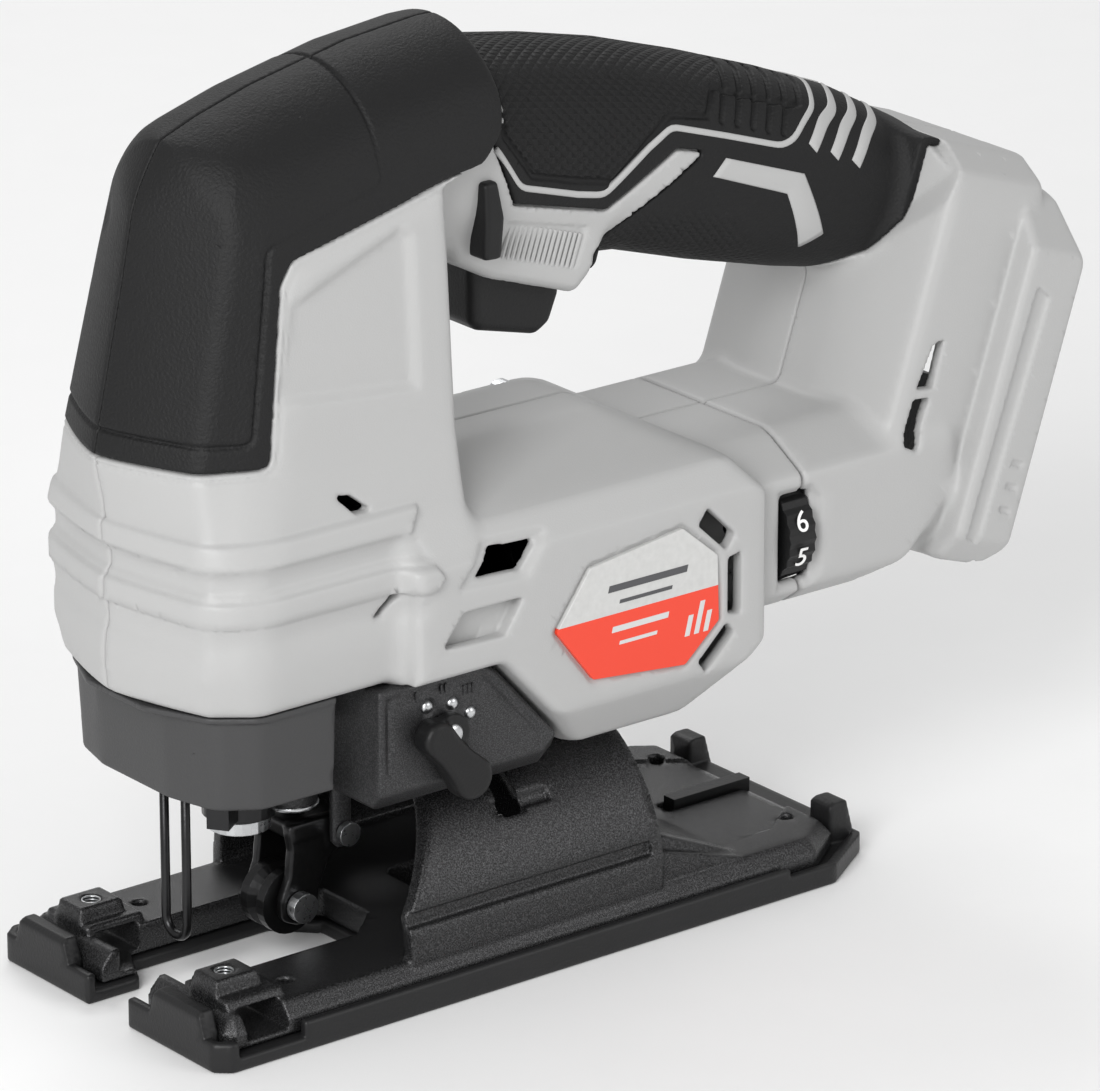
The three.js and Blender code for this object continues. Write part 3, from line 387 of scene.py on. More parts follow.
GRIP_STATIONS = np.array([
    # station, top, bottom, half width, squareness
    (60, 188, 150, 17.0, 2.5),
    (80, 192.5, 148.5, 18.2, 2.5),
    (89, 193.4, 148.0, 18.4, 2.5),
    (97, 192.2, 146.0, 17.8, 2.4),
    (110, 190.2, 142.5, 17.2, 2.3),
    (129, 185.9, 140.6, 16.8, 2.3),
    (150, 179.5, 134.2, 17.2, 2.3),
    (172, 171.9, 128.4, 18.0, 2.3),
    (190, 164.8, 124.6, 19.0, 2.3),
    (203, 157.6, 120.6, 19.6, 2.3),
    (222, 146.0, 114.0, 19.6, 2.3),
])
COLLAR = rounded(
    [(70, 172), (80, 150), (89.5, 144.6), (111.5, 137.2), (117.5, 142.6), (119.5, 149), (143, 163),
    (140, 172)],
    [0, 3, 3, 3, 3, 4, 2, 0],
)
FOOT_TILT = math.radians(18.5)
FOOT_AT = (200.0, 90.0)
FOOT_SIDE = rounded(
    [(-24.5, 64), (-24.5, -3), (-17.8, -9.5), (-7.4, -25.7), (9, -25.7), (9, 64)], [0, 2, 3, 4, 0, 0]
)
FOOT_PLAN = rounded([(-24.4, -40), (-24.4, 10.5), (-18, 32.6), (3, 33.2), (12, 33.2), (12, -40)],
    [0, 2.5, 4, 2, 0, 0])
FOOT_FRONT = rounded(
    [(-40, -25.9), (27, -25.9), (33.4, -17), (33.4, 50), (31, 58.5), (22, 63.4), (-40, 63.8)],
    [0, 5, 4, 4, 5, 6, 0]
)
FLANGE_FRONT = rounded(
    [(-40, -25.7), (33.5, -25.7), (39, -18.5), (39, 45.5), (30.5, 55.5), (21, 61.6), (-40, 62)],
    [0, 5, 4, 3, 3, 6, 0]
)
FLANGE_SIDE = rounded(
    [(2.6, -25.7), (16, -25.7), (19.2, -21), (19.2, 43.5), (14.2, 56.5), (2.6, 62)], [3, 3, 3, 4, 3, 3]
)


def profile(points, at):
    p = np.array(points, float)
    return np.interp(at, p[:, 0], p[:, 1]).astype(np.float32)


def nose_plan(g):
    """The facets of the nose, without its top and its ends."""
    w = np.abs(g.y)
    at = lambda column: np.interp(g.z, NOSE_LEVELS[:, 0], NOSE_LEVELS[:, column]).astype(np.float32)
    front, cx, cy, sx, sy = (at(k) for k in range(1, 6))
    face = (front + (cx - front) * (w / cy) ** 1.35 - g.x) * 0.96
    run, rise = sx - cx, sy - cy
    length = np.hypot(run, rise)
    corner = ((w - cy) * run - (g.x - cx) * rise) / length
    return both(both(face, corner, 1.3), w - sy, 2.5)


def nose_form(g):
    w = np.abs(g.y)
    plan = nose_plan(g)
    crown = 27 * (1 - np.sqrt(np.clip(1 - (w / 25.9) ** 2, 0.0009, 1)))
    top = (g.z - profile(NOSE_TOP, g.x) + crown) * 0.9
    body = both(plan, top, 5)
    return both(body, outline(NOSE_SIDE, g.x, g.z), 2.5)


def foot_axes(g):
    dx, dz = g.x - FOOT_AT[0], g.z - FOOT_AT[1]
    c, s = math.cos(FOOT_TILT), math.sin(FOOT_TILT)
    return dx * c - dz * s, dx * s + dz * c


def grip_form(g):
    w = np.abs(g.y)
    at = lambda column: np.interp(g.x, GRIP_STATIONS[:, 0], GRIP_STATIONS[:, column]).astype(np.float32)
    top, bottom, half, power = (at(k) for k in range(1, 5))
    high = (top - bottom) / 2
    a = (w / half) ** power
    b = (np.abs(g.z - (top + bottom) / 2) / high) ** power
    size = (a + b) ** (1 / power)
    return (size - 1) * half * 0.97


def foot_form(g):
    u, v = foot_axes(g)
    w = np.abs(g.y)
    column = both(both(outline(FOOT_SIDE, u, v), outline(FOOT_PLAN, u, w), 2.5), outline(FOOT_FRONT, w, v), 2)
    flange = both(outline(FLANGE_SIDE, u, v), outline(FLANGE_FRONT, w, v), 1.8)
    return either(column, flange, 1.0)


def housing_form(g):
    """The whole outer form of the housing, before its details."""
    w = np.abs(g.y)
    block = both(outline(BLOCK_SIDE, g.x, g.z), outline(BLOCK_FRONT, w, g.z), 2.2)
    barrel = both(outline(BARREL_SIDE, g.x, g.z), outline(BARREL_FRONT, w, g.z), 2.2)
    nose = nose_form(g)
    grip = both(grip_form(g), slab(g.x, 62, 213.5), 9)
    collar = both(outline(COLLAR, g.x, g.z), w - 15.2, 3)
    body = either(nose, block, 4)
    body = either(body, barrel, 1.5)
    handle = either(grip, collar, 1.2)
    body = either(body, handle, 1.0)
    return either(body, foot_form(g), 3.0)


# ---------------------------------------------------------------- joint lines, seen from the side
COVER_EDGE = [(22.4, 122.4), (27.6, 158.4), (30.6, 163.0), (71.5, 172.9)]
COVER_REGION = rounded(
    [(-20, 122.4)] + COVER_EDGE + [(79, 173.6), (84.6, 178.5), (86.6, 186), (86.8, 230), (-20, 230)],
    [0, 2.5, 3, 2, 1, 2, 3, 0, 0, 0],
)
GRIP_REGION = rounded(
    [(86.9, 230), (86.7, 176), (90, 168), (93.3, 160.6), (118.3, 154.2), (136.5, 164.2), (144, 162.4),
    (116, 145.6),
     (115.2, 141.5), (117, 120), (176, 118), (182, 127.5), (189.5, 131.5), (197, 142), (204.0, 153.0),
     (208.0, 158.6),
     (209, 230)],
    [0, 1, 1, 1, 1.5, 1.5, 1, 1.5, 0, 0, 0, 3, 3, 4, 3, 0, 0],
)
LABEL = [(121, 90.3), (96.4, 87.1), (87.5, 74.9), (97.3, 62.4), (121.8, 59.9), (130.9, 67.8), (130.4, 82.4)]
VENTS = [
    [(67.2, 91.1), (71.6, 96.6), (83.5, 95.9), (79.1, 90.3)],
    [(128, 93.2), (135.6, 85.7), (133.2, 82.6), (125.4, 89.8)],
    [(133.6, 80.8), (137.2, 81.6), (137.2, 67.6), (133.6, 68.4)],
    [(133.4, 66.6), (135.6, 63.8), (128, 56.4), (125.6, 59.4)],
    [(36.3, 114.1), (40.4, 113.5), (45.8, 109.2), (41.2, 109.4)],
    [(51.2, 91.0), (48.7, 91.0), (44.5, 86.4), (46.6, 86.6)],
]
FOOT_VENTS = [
    [(189.8, 104.4), (194.6, 103.8), (197.6, 114.2), (194.6, 113.6)],
    [(185.6, 92.8), (189.2, 91.0), (193.9, 101.8), (189.2, 102.4)],
]
VENT_FRAME = [(61.6, 89.6), (69.6, 98.6), (87.0, 97.8), (80.6, 88.4)]
BLIND_POCKET = [(63.7, 84.8), (79.5, 84.8), (74.4, 77.4), (58.2, 77.9)]
SIDE_PANEL = rounded([(28.5, 155.7), (57.1, 166.7), (60.8, 163.9), (60.7, 130.2), (23.4, 133.9)], 2.5)
SEAM_X = 157.5
DIAL = (156.0, -24.3, 79.0)


# ---------------------------------------------------------------- housing details


def raised_bands(d, g):
    """Two raised bands round the lower nose, with a recess between them, and a soft ridge below."""
    upper = outline(rounded([(-20, 103.4), (53.5, 103.4), (56.5, 108.6), (-20, 108.6)], 0.8), g.x, g.z)
    lower = outline(rounded([(-20, 91.2), (56.5, 91.2), (58.8, 93.8), (57.0, 96.6), (-20, 96.6)], 0.8), g.x,
        g.z)
    between = outline([(-20, 97.4), (57.8, 97.4), (55.3, 102.8), (-20, 102.8)], g.x, g.z)
    below = outline([(-20, 84), (55, 84), (57.6, 90.4), (-20, 90.4)], g.x, g.z)
    d = d - 1.2 * smooth_step(-upper, -0.2, 0.4)
    d = d - 1.2 * smooth_step(-lower, -0.2, 0.4)
    d = d + 0.9 * smooth_step(-between, 0, 1.4)
    d = d + 0.5 * smooth_step(-below, 0, 2.5)
    return d


def front_seams(d, g):
    """Centre seam down the nose and the joint line round the rear ring."""
    d = scored(d, g.y, 0.45, 0.35)
    return np.where(g.z < 113, scored(d, g.x - SEAM_X, 0.7, 0.9), d)


def side_details(d, g):
    """Recesses of the housing's sides: panel, label bed, blind pocket, vent frame and vents."""
    w = np.abs(g.y)
    deep = w > 13
    panel = outline(SIDE_PANEL, g.x, g.z)
    d = sunk(d, np.where(deep, panel, 5), 1.4, 3.2)
    bed = outline(rounded(LABEL, 1.2), g.x, g.z)
    d = sunk(d, bed - 1.1, 0.9, 0.5)
    pocket = outline(rounded(BLIND_POCKET, 0.8), g.x, g.z)
    d = np.maximum(d, -both(pocket, 34.4 - w, 0.5))
    d = sunk(d, outline(rounded(VENT_FRAME, 1.2), g.x, g.z) - 0.4, 1.1, 2.0)
    for shape in VENTS:
        hole = outline(rounded(shape, 0.7), g.x, g.z)
        reach = 27 if shape[0][0] > 60 else 22
        d = without(d, np.maximum(hole, reach - w), 0.5)
    for shape in FOOT_VENTS:
        d = without(d, np.maximum(outline(rounded(shape, 0.5), g.x, g.z), 27 - w), 0.4)
    return d


def dial_window(d, g):
    """Opening for the speed dial and the sloping bed round it, on the left side only."""
    frame_bed = outline(rounded([(149.6, 67.0), (160.2, 67.0), (163.4, 70.5), (163.4, 87.5), (160.2, 91.2),
        (149.6, 91.2)], 1.5), g.x, g.z)
    d = sunk(d, np.where(np.abs(g.y) > 20, frame_bed, 5), 1.5, 2.4)
    window = outline(rounded([(151.8, 69.3), (160.0, 69.3), (160.0, 88.9), (151.8, 88.9)], 1.0), g.x, g.z)
    return without(d, np.maximum(window, 22 - np.abs(g.y)), 0.6)


def foot_details(d, g):
    """Band, ribs and rail slots of the sloping rear foot."""
    u, v = foot_axes(g)
    w = np.abs(g.y)
    band = outline(rounded([(5.4, -19), (9.6, -20), (11.2, 36), (6.4, 38)], 1.0), u, v)
    d = sunk(d, np.maximum(band, 34.5 - w), 1.0, 0.7)
    for k in range(3):
        mark = outline([(12.6, -12 + 5.2 * k), (16.2, -12.4 + 5.2 * k), (16.2, -10.8 + 5.2 * k),
            (12.6, -10.4 + 5.2 * k)], u, v)
        d = sunk(d, np.maximum(mark, 36 - w), 0.7, 0.4)
    seat = np.maximum(np.maximum(9.6 - u, w - 31.8), slab(v, -30, 43))
    rail = np.maximum(np.maximum(slab(u, 13.4, 16.2), w - 34.4), slab(v, -30, 40))
    d = without(d, seat, 1.0)
    return without(d, rail, 0.3)


def collar_details(d, g):
    """Bed of the slanted fingertip ribs below the handle's front end."""
    w = np.abs(g.y)
    bed = outline(rounded([(92.0, 157.2), (114.4, 151.8), (110.8, 143.0), (90.4, 149.4)], 0.8), g.x, g.z)
    return sunk(d, np.maximum(bed, 10 - w), 0.75, 0.5)


REAR_REGION = [
    (SEAM_X, 20), (SEAM_X, 113), (176, 113), (181, 118), (181, 190), (290, 190), (290, 20),
]
LIP_AWAY = 1.45  # from the cover's edge to the fine line beside the grey lip
PANEL_REGION = rounded([(-20, 128.4), (19.2, 127.6), (25.8, 166.3), (54.0, 174.4), (54.8, 230), (-20, 230)],
    [0, 2.5, 3, 2, 0, 0])


def housing_field(g, left):
    d = housing_form(g)
    d = raised_bands(d, g)
    d = side_details(d, g)
    if left:
        d = dial_window(d, g)
    d = collar_details(d, g)
    d = foot_details(d, g)
    return front_seams(d, g)


def nose_notch(d, g):
    """Scalloped notch at the front of the nose's right half."""
    ball = np.sqrt((g.x - 10.5) ** 2 + (g.y - 18.5) ** 2 + (g.z - 167.0) ** 2) - 6.2
    return without(d, ball, 1.0)


SCREWS = [f"housing_screw_{k}" for k in range(1, 9)]


def screw_posts(shell, g, form):
    """Posts under the screw heads and the bores that the screws are driven through, from the right side."""
    for node in SCREWS:
        low, high = (np.array(c) * 1000 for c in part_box(node))
        cx, cz = (low[0] + high[0]) / 2 + SOLE_ORIGIN, (low[2] + high[2]) / 2
        if not (g.x.min() < cx < g.x.max() and g.z.min() < cz < g.z.max()):
            continue
        away = np.hypot(g.x - cx, g.z - cz)
        if form is not None:
            boss = np.maximum(away - 4.7, slab(g.y, high[1] - 5, high[1] + 0.2))
            shell = np.minimum(shell, np.maximum(boss, form - 1.6))
        shell = without(shell, np.maximum(away - 3.7, high[1] - 2.4 - g.y), 0.25)
    return shell


def front_shell(side, name):
    g = Grid((-3, -0.7, 40), (160.5, 40, 203), 0.6)
    d = housing_field(g, side < 0)
    half = 0.06 - g.y
    cover = outline(COVER_REGION, g.x, g.z)
    rubber = outline(GRIP_REGION, g.x, g.z)
    rear = outline(REAR_REGION, g.x, g.z)
    shell = scored(d, cover - LIP_AWAY, 0.55, 0.5)
    shell = np.maximum(shell, np.minimum(GAP - cover, d + 1.7))
    shell = np.maximum(shell, np.minimum(GAP - rubber, d + 2.1))
    shell = without(shell, rear - GAP, 0.3)
    shell = np.maximum(shell, -(housing_form(g) + 3.4))
    backing = outline(BLIND_POCKET, g.x, g.z) - 1.8
    shell = np.minimum(shell, np.maximum(backing, slab(g.y, 31.5, 34.4)))
    shell = np.maximum(shell, -np.maximum(np.maximum(nose_plan(g) + 3.0, g.z - 76), g.x - 66.5))
    if side > 0:
        shell = screw_posts(shell, g, np.maximum(d, np.maximum(2 * GAP - cover, rear - GAP)))
    return skinned(f"front_moulding_{name}", np.maximum(shell, half), g, GREY, side, 0.02)


def rear_shell(side, name):
    g = Grid((150, -0.7, 52), (236, 41.5, 176), 0.6)
    d = housing_field(g, side < 0)
    half = 0.06 - g.y
    rubber = outline(GRIP_REGION, g.x, g.z)
    rear = outline(REAR_REGION, g.x, g.z)
    shell = np.maximum(d, np.minimum(GAP - rubber, d + 2.1))
    shell = both(shell, rear + GAP, 0.3)
    form = housing_form(g)
    shell = np.maximum(shell, -(form + 3.4))
    web = np.maximum(outline([(183, 88), (203, 88), (205, 118), (185, 118)], g.x, g.z), g.y - 1.4)
    shell = np.minimum(shell, np.maximum(web, form + 1.0))
    if side > 0:
        shell = screw_posts(shell, g, np.maximum(d, rear + GAP))
    return skinned(f"rear_moulding_{name}", np.maximum(shell, half), g, GREY, side, 0.02)


def nose_cover(side, name):
    g = Grid((-4, -0.6, 119), (90, 31, 203), 0.46)
    d = housing_form(g)
    if side > 0:
        d = nose_notch(d, g)
    panel = outline(PANEL_REGION, g.x, g.z)
    d = d + 0.15 * smooth_step(panel, -0.2, 0.2)
    d = scored(d, panel, 0.6, 0.75)
    d = scored(d, g.y, 0.4, 0.25)
    cover = outline(COVER_REGION, g.x, g.z)
    piece = both(d - 0.25, cover + GAP, 0.5)
    piece = np.maximum(piece, -(d + 1.5))
    if side > 0:
        piece = screw_posts(piece, g, None)
    return skinned(f"nose_moulding_{name}", np.maximum(piece, 0.06 - g.y), g, BLACK_SOFT, side, 0.01)


def grip_coordinates(x, w, z):
    """Direction round the handle's own axis in degrees: 0 at the side, 90 on top, -90 below."""
    at = lambda column: np.interp(x, GRIP_STATIONS[:, 0], GRIP_STATIONS[:, column])
    top, bottom, half = (at(k) for k in range(1, 4))
    return np.degrees(np.arctan2((z - (top + bottom) / 2) / ((top - bottom) / 2), w / half))


def on_grip(x, angle, lift):
    """The point of the handle's surface at a station and a direction, raised by lift. Right-hand side."""
    at = lambda column: np.interp(x, GRIP_STATIONS[:, 0], GRIP_STATIONS[:, column])
    top, bottom, half, power = (at(k) for k in range(1, 5))
    a = math.radians(angle)
    c, s = math.cos(a), math.sin(a)
    rho = (abs(c) ** power + abs(s) ** power) ** (-1 / power)
    high = (top - bottom) / 2
    return (x, (half + lift) * rho * c, (top + bottom) / 2 + (high + lift) * rho * s)


def side_angle(x, z):
    """Direction of the point of the handle's side that stands at height z."""
    at = lambda column: np.interp(x, GRIP_STATIONS[:, 0], GRIP_STATIONS[:, column])
    top, bottom, power = at(1), at(2), at(4)
    up = np.clip((z - (top + bottom) / 2) / ((top - bottom) / 2), -0.999, 0.999)
    return math.degrees(math.atan2(up, (1 - abs(up) ** power) ** (1 / power)))


def top_angle(x, w):
    """Direction of the point of the handle's upper side that stands w from the middle."""
    half, power = (float(np.interp(x, GRIP_STATIONS[:, 0], GRIP_STATIONS[:, k])) for k in (3, 4))
    out = min(w / half, 0.999)
    return math.degrees(math.atan2((1 - out ** power) ** (1 / power), out))


def lay(points):
    """Points of the handle as (station, direction): ("s", x, z) on the side, ("t", x, w) over the top."""
    return [(x, side_angle(x, v) if kind == "s" else top_angle(x, v)) for kind, x, v in points]


ROUND = 0.32  # millimetres of the handle's surface for each degree
PINSTRIPE = lay([
    ("s", 87.6, 173.9), ("s", 94.4, 164.3), ("s", 117.2, 158.1),
    ("s", 135.2, 169.3), ("s", 164.5, 159.9), ("s", 168.2, 160.6), ("s", 171.3, 163.0), ("t", 176.2, 13),
    ("t", 181.0, 5), ("t", 183.0, 0),
])
STRIPES = [
    lay([("s", 172.9 + 5.6 * k, 157.8 - 2.7 * k), ("s", 177.5 + 5.6 * k, 162.3 - 2.4 * k),
    ("t", 182.2 + 5.6 * k, 12.6), ("t", 187.2 + 5.6 * k, 4.2), ("t", 189.4 + 5.6 * k, 0.6)])
    for k in range(3)
]
GROOVES = [
    lay([("s", 149.2 + 4.1 * k, 167.9 - 1.4 * k), ("s", 152.0 + 4.1 * k, 173.2 - 1.5 * k),
    ("t", 156.5 + 4.1 * k, 12.6), ("t", 161.5 + 4.1 * k, 4.0), ("t", 163.0 + 4.1 * k, 0)])
    for k in range(5)
]
PAD = lay([
    ("t", 87.6, 0), ("t", 88.6, 8), ("s", 89.9, 176.1), ("s", 97.6, 166.0), ("s", 119.4, 160.4),
    ("s", 135.5, 171.7),
    ("s", 145.5, 169.6), ("s", 149.2, 174.4), ("t", 153.0, 12), ("t", 157.0, 4), ("t", 158.0, 0),
]) + [(158.0, 130), (87.6, 130)]


def grip_cover(side, name):
    """The soft overmould of the handle, with its pad and grooves."""
    g = Grid((84, -0.55, 110), (216, 21.5, 196), 0.42)
    d = housing_form(g)
    angle = grip_coordinates(g.x, np.maximum(g.y, 0.001), g.z).astype(np.float32) * ROUND
    along = g.x + 0 * angle
    flat = lambda points: [(x, a * ROUND) for x, a in points]
    pad = outline(flat(PAD), along, angle)
    d = scored(d, pad, 0.75, 0.8)
    for groove in GROOVES:
        d = scored(d, line(flat(groove), along, angle), 0.8, 0.9)
    rubber = outline(GRIP_REGION, g.x, g.z)
    piece = both(d, rubber + GAP, 0.7)
    piece = np.maximum(piece, -(d + 1.9))
    if side > 0:
        piece = screw_posts(piece, g, None)
    moulded = skinned(f"grip_moulding_{name}", np.maximum(piece, 0.06 - g.y), g, RUBBER, side, 0.008)
    lay_flat(moulded, side)
    return moulded


def lay_flat(piece, side):
    """Gives a handle piece flat coordinates, along and round the handle, for patterns that follow it."""
    mesh = piece.data
    co = np.empty(len(mesh.vertices) * 3)
    mesh.vertices.foreach_get("co", co)
    co = co.reshape(-1, 3) * 1000 + (SOLE_ORIGIN, 0, 0)
    x, w, z = co[:, 0], np.maximum(np.abs(co[:, 1]), 0.001), co[:, 2]
    angle = grip_coordinates(x, w, z)
    inside = outline([(a, b * ROUND) for a, b in PAD], x, angle * ROUND)
    lower = outline([(150, -8 * ROUND), (112, -30 * ROUND), (112, -95 * ROUND), (176, -95 * ROUND),
        (165, -40 * ROUND)], x, angle * ROUND)
    flat = mesh.uv_layers.new(name="along_and_round")
    corner = np.empty(len(mesh.loops), int)
    mesh.loops.foreach_get("vertex_index", corner)
    flat.data.foreach_set("uv", np.column_stack([x / 1000, angle * ROUND / 1000])[corner].ravel())
    mask = mesh.attributes.new("knurl", "FLOAT", "POINT")
    strength = np.maximum(smooth_step(-inside, 0.6, 1.2), 0.55 * smooth_step(-lower, 0, 8))
    mask.data.foreach_set("value", strength.astype(np.float32))


def trim_strip(points, half_widths, step=1.2):
    """A low strip with rounded shoulders, laid on the handle along a line of stations and directions."""
    path = [np.array((x, a * ROUND)) for x, a in points]
    dense, halves = [], []
    for (p, q), (hp, hq) in zip(zip(path, path[1:]), zip(half_widths, half_widths[1:])):
        n = max(2, int(np.linalg.norm(q - p) / step))
        for k in range(n):
            dense.append(p + (q - p) * k / n)
            halves.append(hp + (hq - hp) * k / n)
    dense.append(path[-1])
    halves.append(half_widths[-1])
    for _ in range(2):
        dense = [dense[0]] + [(a + 2 * b + c) / 4 for a, b,
            c in zip(dense, dense[1:], dense[2:])] + [dense[-1]]
    rings = []
    for k, p in enumerate(dense):
        along = dense[min(k + 1, len(dense) - 1)] - dense[max(k - 1, 0)]
        across = np.array((-along[1], along[0])) / max(np.linalg.norm(along), 1e-6)
        h = halves[k]
        section = [(-h, -0.7), (-h, 0.10), (-h + 0.22, 0.26), (h - 0.22, 0.26), (h, 0.10), (h, -0.7)]
        rings.append([on_grip(*(p + across * u)[:1], (p + across * u)[1] / ROUND, lift) for u,
            lift in section])
    return rings


def tube_mesh(rings, vertices, faces):
    """Adds a closed body made of equal rings."""
    base = len(vertices)
    n = len(rings[0])
    for ring in rings:
        vertices.extend(ring)
    for k in range(len(rings) - 1):
        for i in range(n):
            a, b = base + k * n + i, base + k * n + (i + 1) % n
            faces.append((a, b, b + n, a + n))
    faces.append(tuple(base + i for i in range(n))[::-1])
    faces.append(tuple(base + (len(rings) - 1) * n + i for i in range(n)))


def grip_trims(side, name):
    """Grey lines, bars and the bent inlay that show through the overmould."""
    vertices, faces = [], []
    tube_mesh(trim_strip(PINSTRIPE, [0.55] * len(PINSTRIPE)), vertices, faces)
    for stripe in STRIPES:
        tube_mesh(trim_strip(stripe, [1.15, 1.15, 1.0, 0.6, 0.35]), vertices, faces)
    top = [(149.3, 160.1), (170.1, 152.9), (176.6, 138.2)]
    low = [(145.8, 156.7), (165.6, 149.3), (171.5, 135.7)]
    rings = []
    for k in range(2):
        for i in range(13 if k else 12):
            t = i / 12
            a = [top[k][j] + (top[k + 1][j] - top[k][j]) * t for j in (0, 1)]
            b = [low[k][j] + (low[k + 1][j] - low[k][j]) * t for j in (0, 1)]
            p = [np.array((v[0], side_angle(v[0], v[1]) * ROUND)) for v in (a, b)]
            ring = []
            for share, lift in ((0, -0.7), (0, 0.1), (0.07, 0.26), (0.5, 0.28), (0.93, 0.26), (1, 0.1),
                (1, -0.7), (0.5, -0.7)):
                q = p[0] + (p[1] - p[0]) * share
                ring.append(on_grip(q[0], q[1] / ROUND, lift))
            rings.append(ring)
    tube_mesh(rings, vertices, faces)
    co = np.array(vertices)
    co[:, 1] *= side
    piece = new_object(f"grip_trims_{name}", co, faces, GREY)
    return facing_out(piece)


def put(piece, body, slot_name, *nodes):
    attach(piece, body)
    if nodes:
        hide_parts(*nodes)
    return piece


for side, name in ((-1, "left"), (1, "right")):
    put(front_shell(side, name), "housing", "grey_plastic", f"front_shell_{name}")
    put(rear_shell(side, name), "housing", "grey_plastic", f"rear_shell_{name}")
    put(nose_cover(side, name), "housing", "black_plastic", f"nose_cover_{name}")
    put(grip_cover(side, name), "housing", "black_rubber", f"grip_{name}")
    put(grip_trims(side, name), "housing", "grey_plastic")

# ---------------------------------------------------------------- label

LABEL_SPLIT = 0.0757


def label_finish():
    """Printed foil: silver-white above, orange-red below."""
    m, tree, shader = material("printed_label", (0.8, 0.8, 0.8), 0.32)
    new, link = tree.nodes.new, tree.links.new
    place = new("ShaderNodeTexCoord")
    split = new("ShaderNodeSeparateXYZ")
    link(place.outputs["Object"], split.inputs["Vector"])
    above = new("ShaderNodeMath")
    above.operation = "GREATER_THAN"
    above.inputs[1].default_value = LABEL_SPLIT
    link(split.outputs["Z"], above.inputs[0])
    brushed = new("ShaderNodeTexNoise")
    brushed.inputs["Scale"].default_value = 600
    link(place.outputs["Object"], brushed.inputs["Vector"])
    silver = new("ShaderNodeMix")
    silver.data_type = "RGBA"
    silver.inputs["A"].default_value = (0.50, 0.50, 0.49, 1)
    silver.inputs["B"].default_value = (0.62, 0.62, 0.61, 1)
    link(brushed.outputs["Fac"], silver.inputs["Factor"])
    tint = new("ShaderNodeMix")
    tint.data_type = "RGBA"
    tint.inputs["A"].default_value = (0.80, 0.052, 0.02, 1)
    link(above.outputs["Value"], tint.inputs["Factor"])
    link(silver.outputs["Result"], tint.inputs["B"])
    link(tint.outputs["Result"], shader.inputs["Base Color"])
    return m


LABEL_FOIL = label_finish()


def prism(name, points, y_from, y_to, finish, chamfer=0.0):
    """A flat piece: an outline in X and Z between two Y planes, its outer face (y_from) chamfered."""
    p = np.array(points, float)
    middle = p.mean(0)
    small = middle + (p - middle) * (1 - chamfer / np.linalg.norm(p - middle, axis=1).min())
    vertices = [(x, y_from, z) for x, z in small] + [(x, y_from + math.copysign(chamfer, y_to - y_from), z)
        for x, z in p]
    vertices += [(x, y_to, z) for x, z in p]
    n = len(p)
    faces = [tuple(range(n)), tuple(range(2 * n, 3 * n))[::-1]]
    for k in range(2):
        for i in range(n):
            a, b = k * n + i, k * n + (i + 1) % n
            faces.append((a, b, b + n, a + n))
    piece = new_object(name, vertices, faces, finish, smooth=False)
    return facing_out(piece)


def label():
    """The foil and a few plain printed bars."""
    foil = prism("side_foil", rounded(LABEL, 1.0), -38.2, -37.0, LABEL_FOIL, 0.12)
    put(foil, "housing", "label", "side_label")
    ink = grained("dark_ink", (0.07, 0.07, 0.075), 0.4, 2400, 0.00001)
    pale = grained("pale_ink", (0.62, 0.62, 0.61), 0.4, 2400, 0.00001)
    for k, (x, z, length, height, colour) in enumerate((
        (101, 80.6, 21, 1.5, ink), (104, 77.7, 14, 0.8, ink), (102, 71.6, 15, 1.3, pale),
        (104, 68.6, 10, 0.8, pale),
        (121.5, 66.2, 1.3, 4.5, pale), (124.0, 66.2, 1.3, 7.0, pale), (126.5, 66.2, 1.3, 4.5, pale),
    )):
        slant = 0.25 * height
        bar = prism(f"printed_bar_{k + 1}",
            [(x, z), (x + length, z), (x + length + slant, z + height), (x + slant, z + height)], -38.26,
            -38.1, colour, 0.02)
        put(bar, "housing", "label")


label()

# ---------------------------------------------------------------- base

PLATE_PLAN = [(4.4, -5), (4.4, 34), (6.4, 36.7), (160, 36.7), (170.6, 29), (170.6, -5)]
SLOT_PLAN = [(-5, -5), (-5, 8), (13, 8), (17, 16), (52, 16), (61, 8), (61, -5)]
KEY_PLAN = rounded([(77, -5), (77, 6), (79, 8), (91, 8), (93, 6), (93, -5)], 0.5)
RAIL_SIDE = [(52.2, 6), (52.2, 14.6), (54, 16.4), (121, 16.4), (143, 9.6), (143, 6)]
RAMP_SIDE = [(116, 6), (116, 19.8), (122.5, 19.0), (143, 9.9), (143, 6)]
PANEL_PLAN = rounded([(169, -5), (169, 16.5), (157, 25), (142, 26.2), (121.5, 28.2), (121.5, -5)],
    [0, 1, 1.5, 1.5, 1, 0])
SADDLE_SIDE = rounded([(52, 4), (52, 19), (66, 38.1), (66, 60), (119, 60), (119, 4)], [0, 1, 1.5, 0, 0, 0])
TILT_Z = 10.3
SADDLE_RADIUS = 35.3


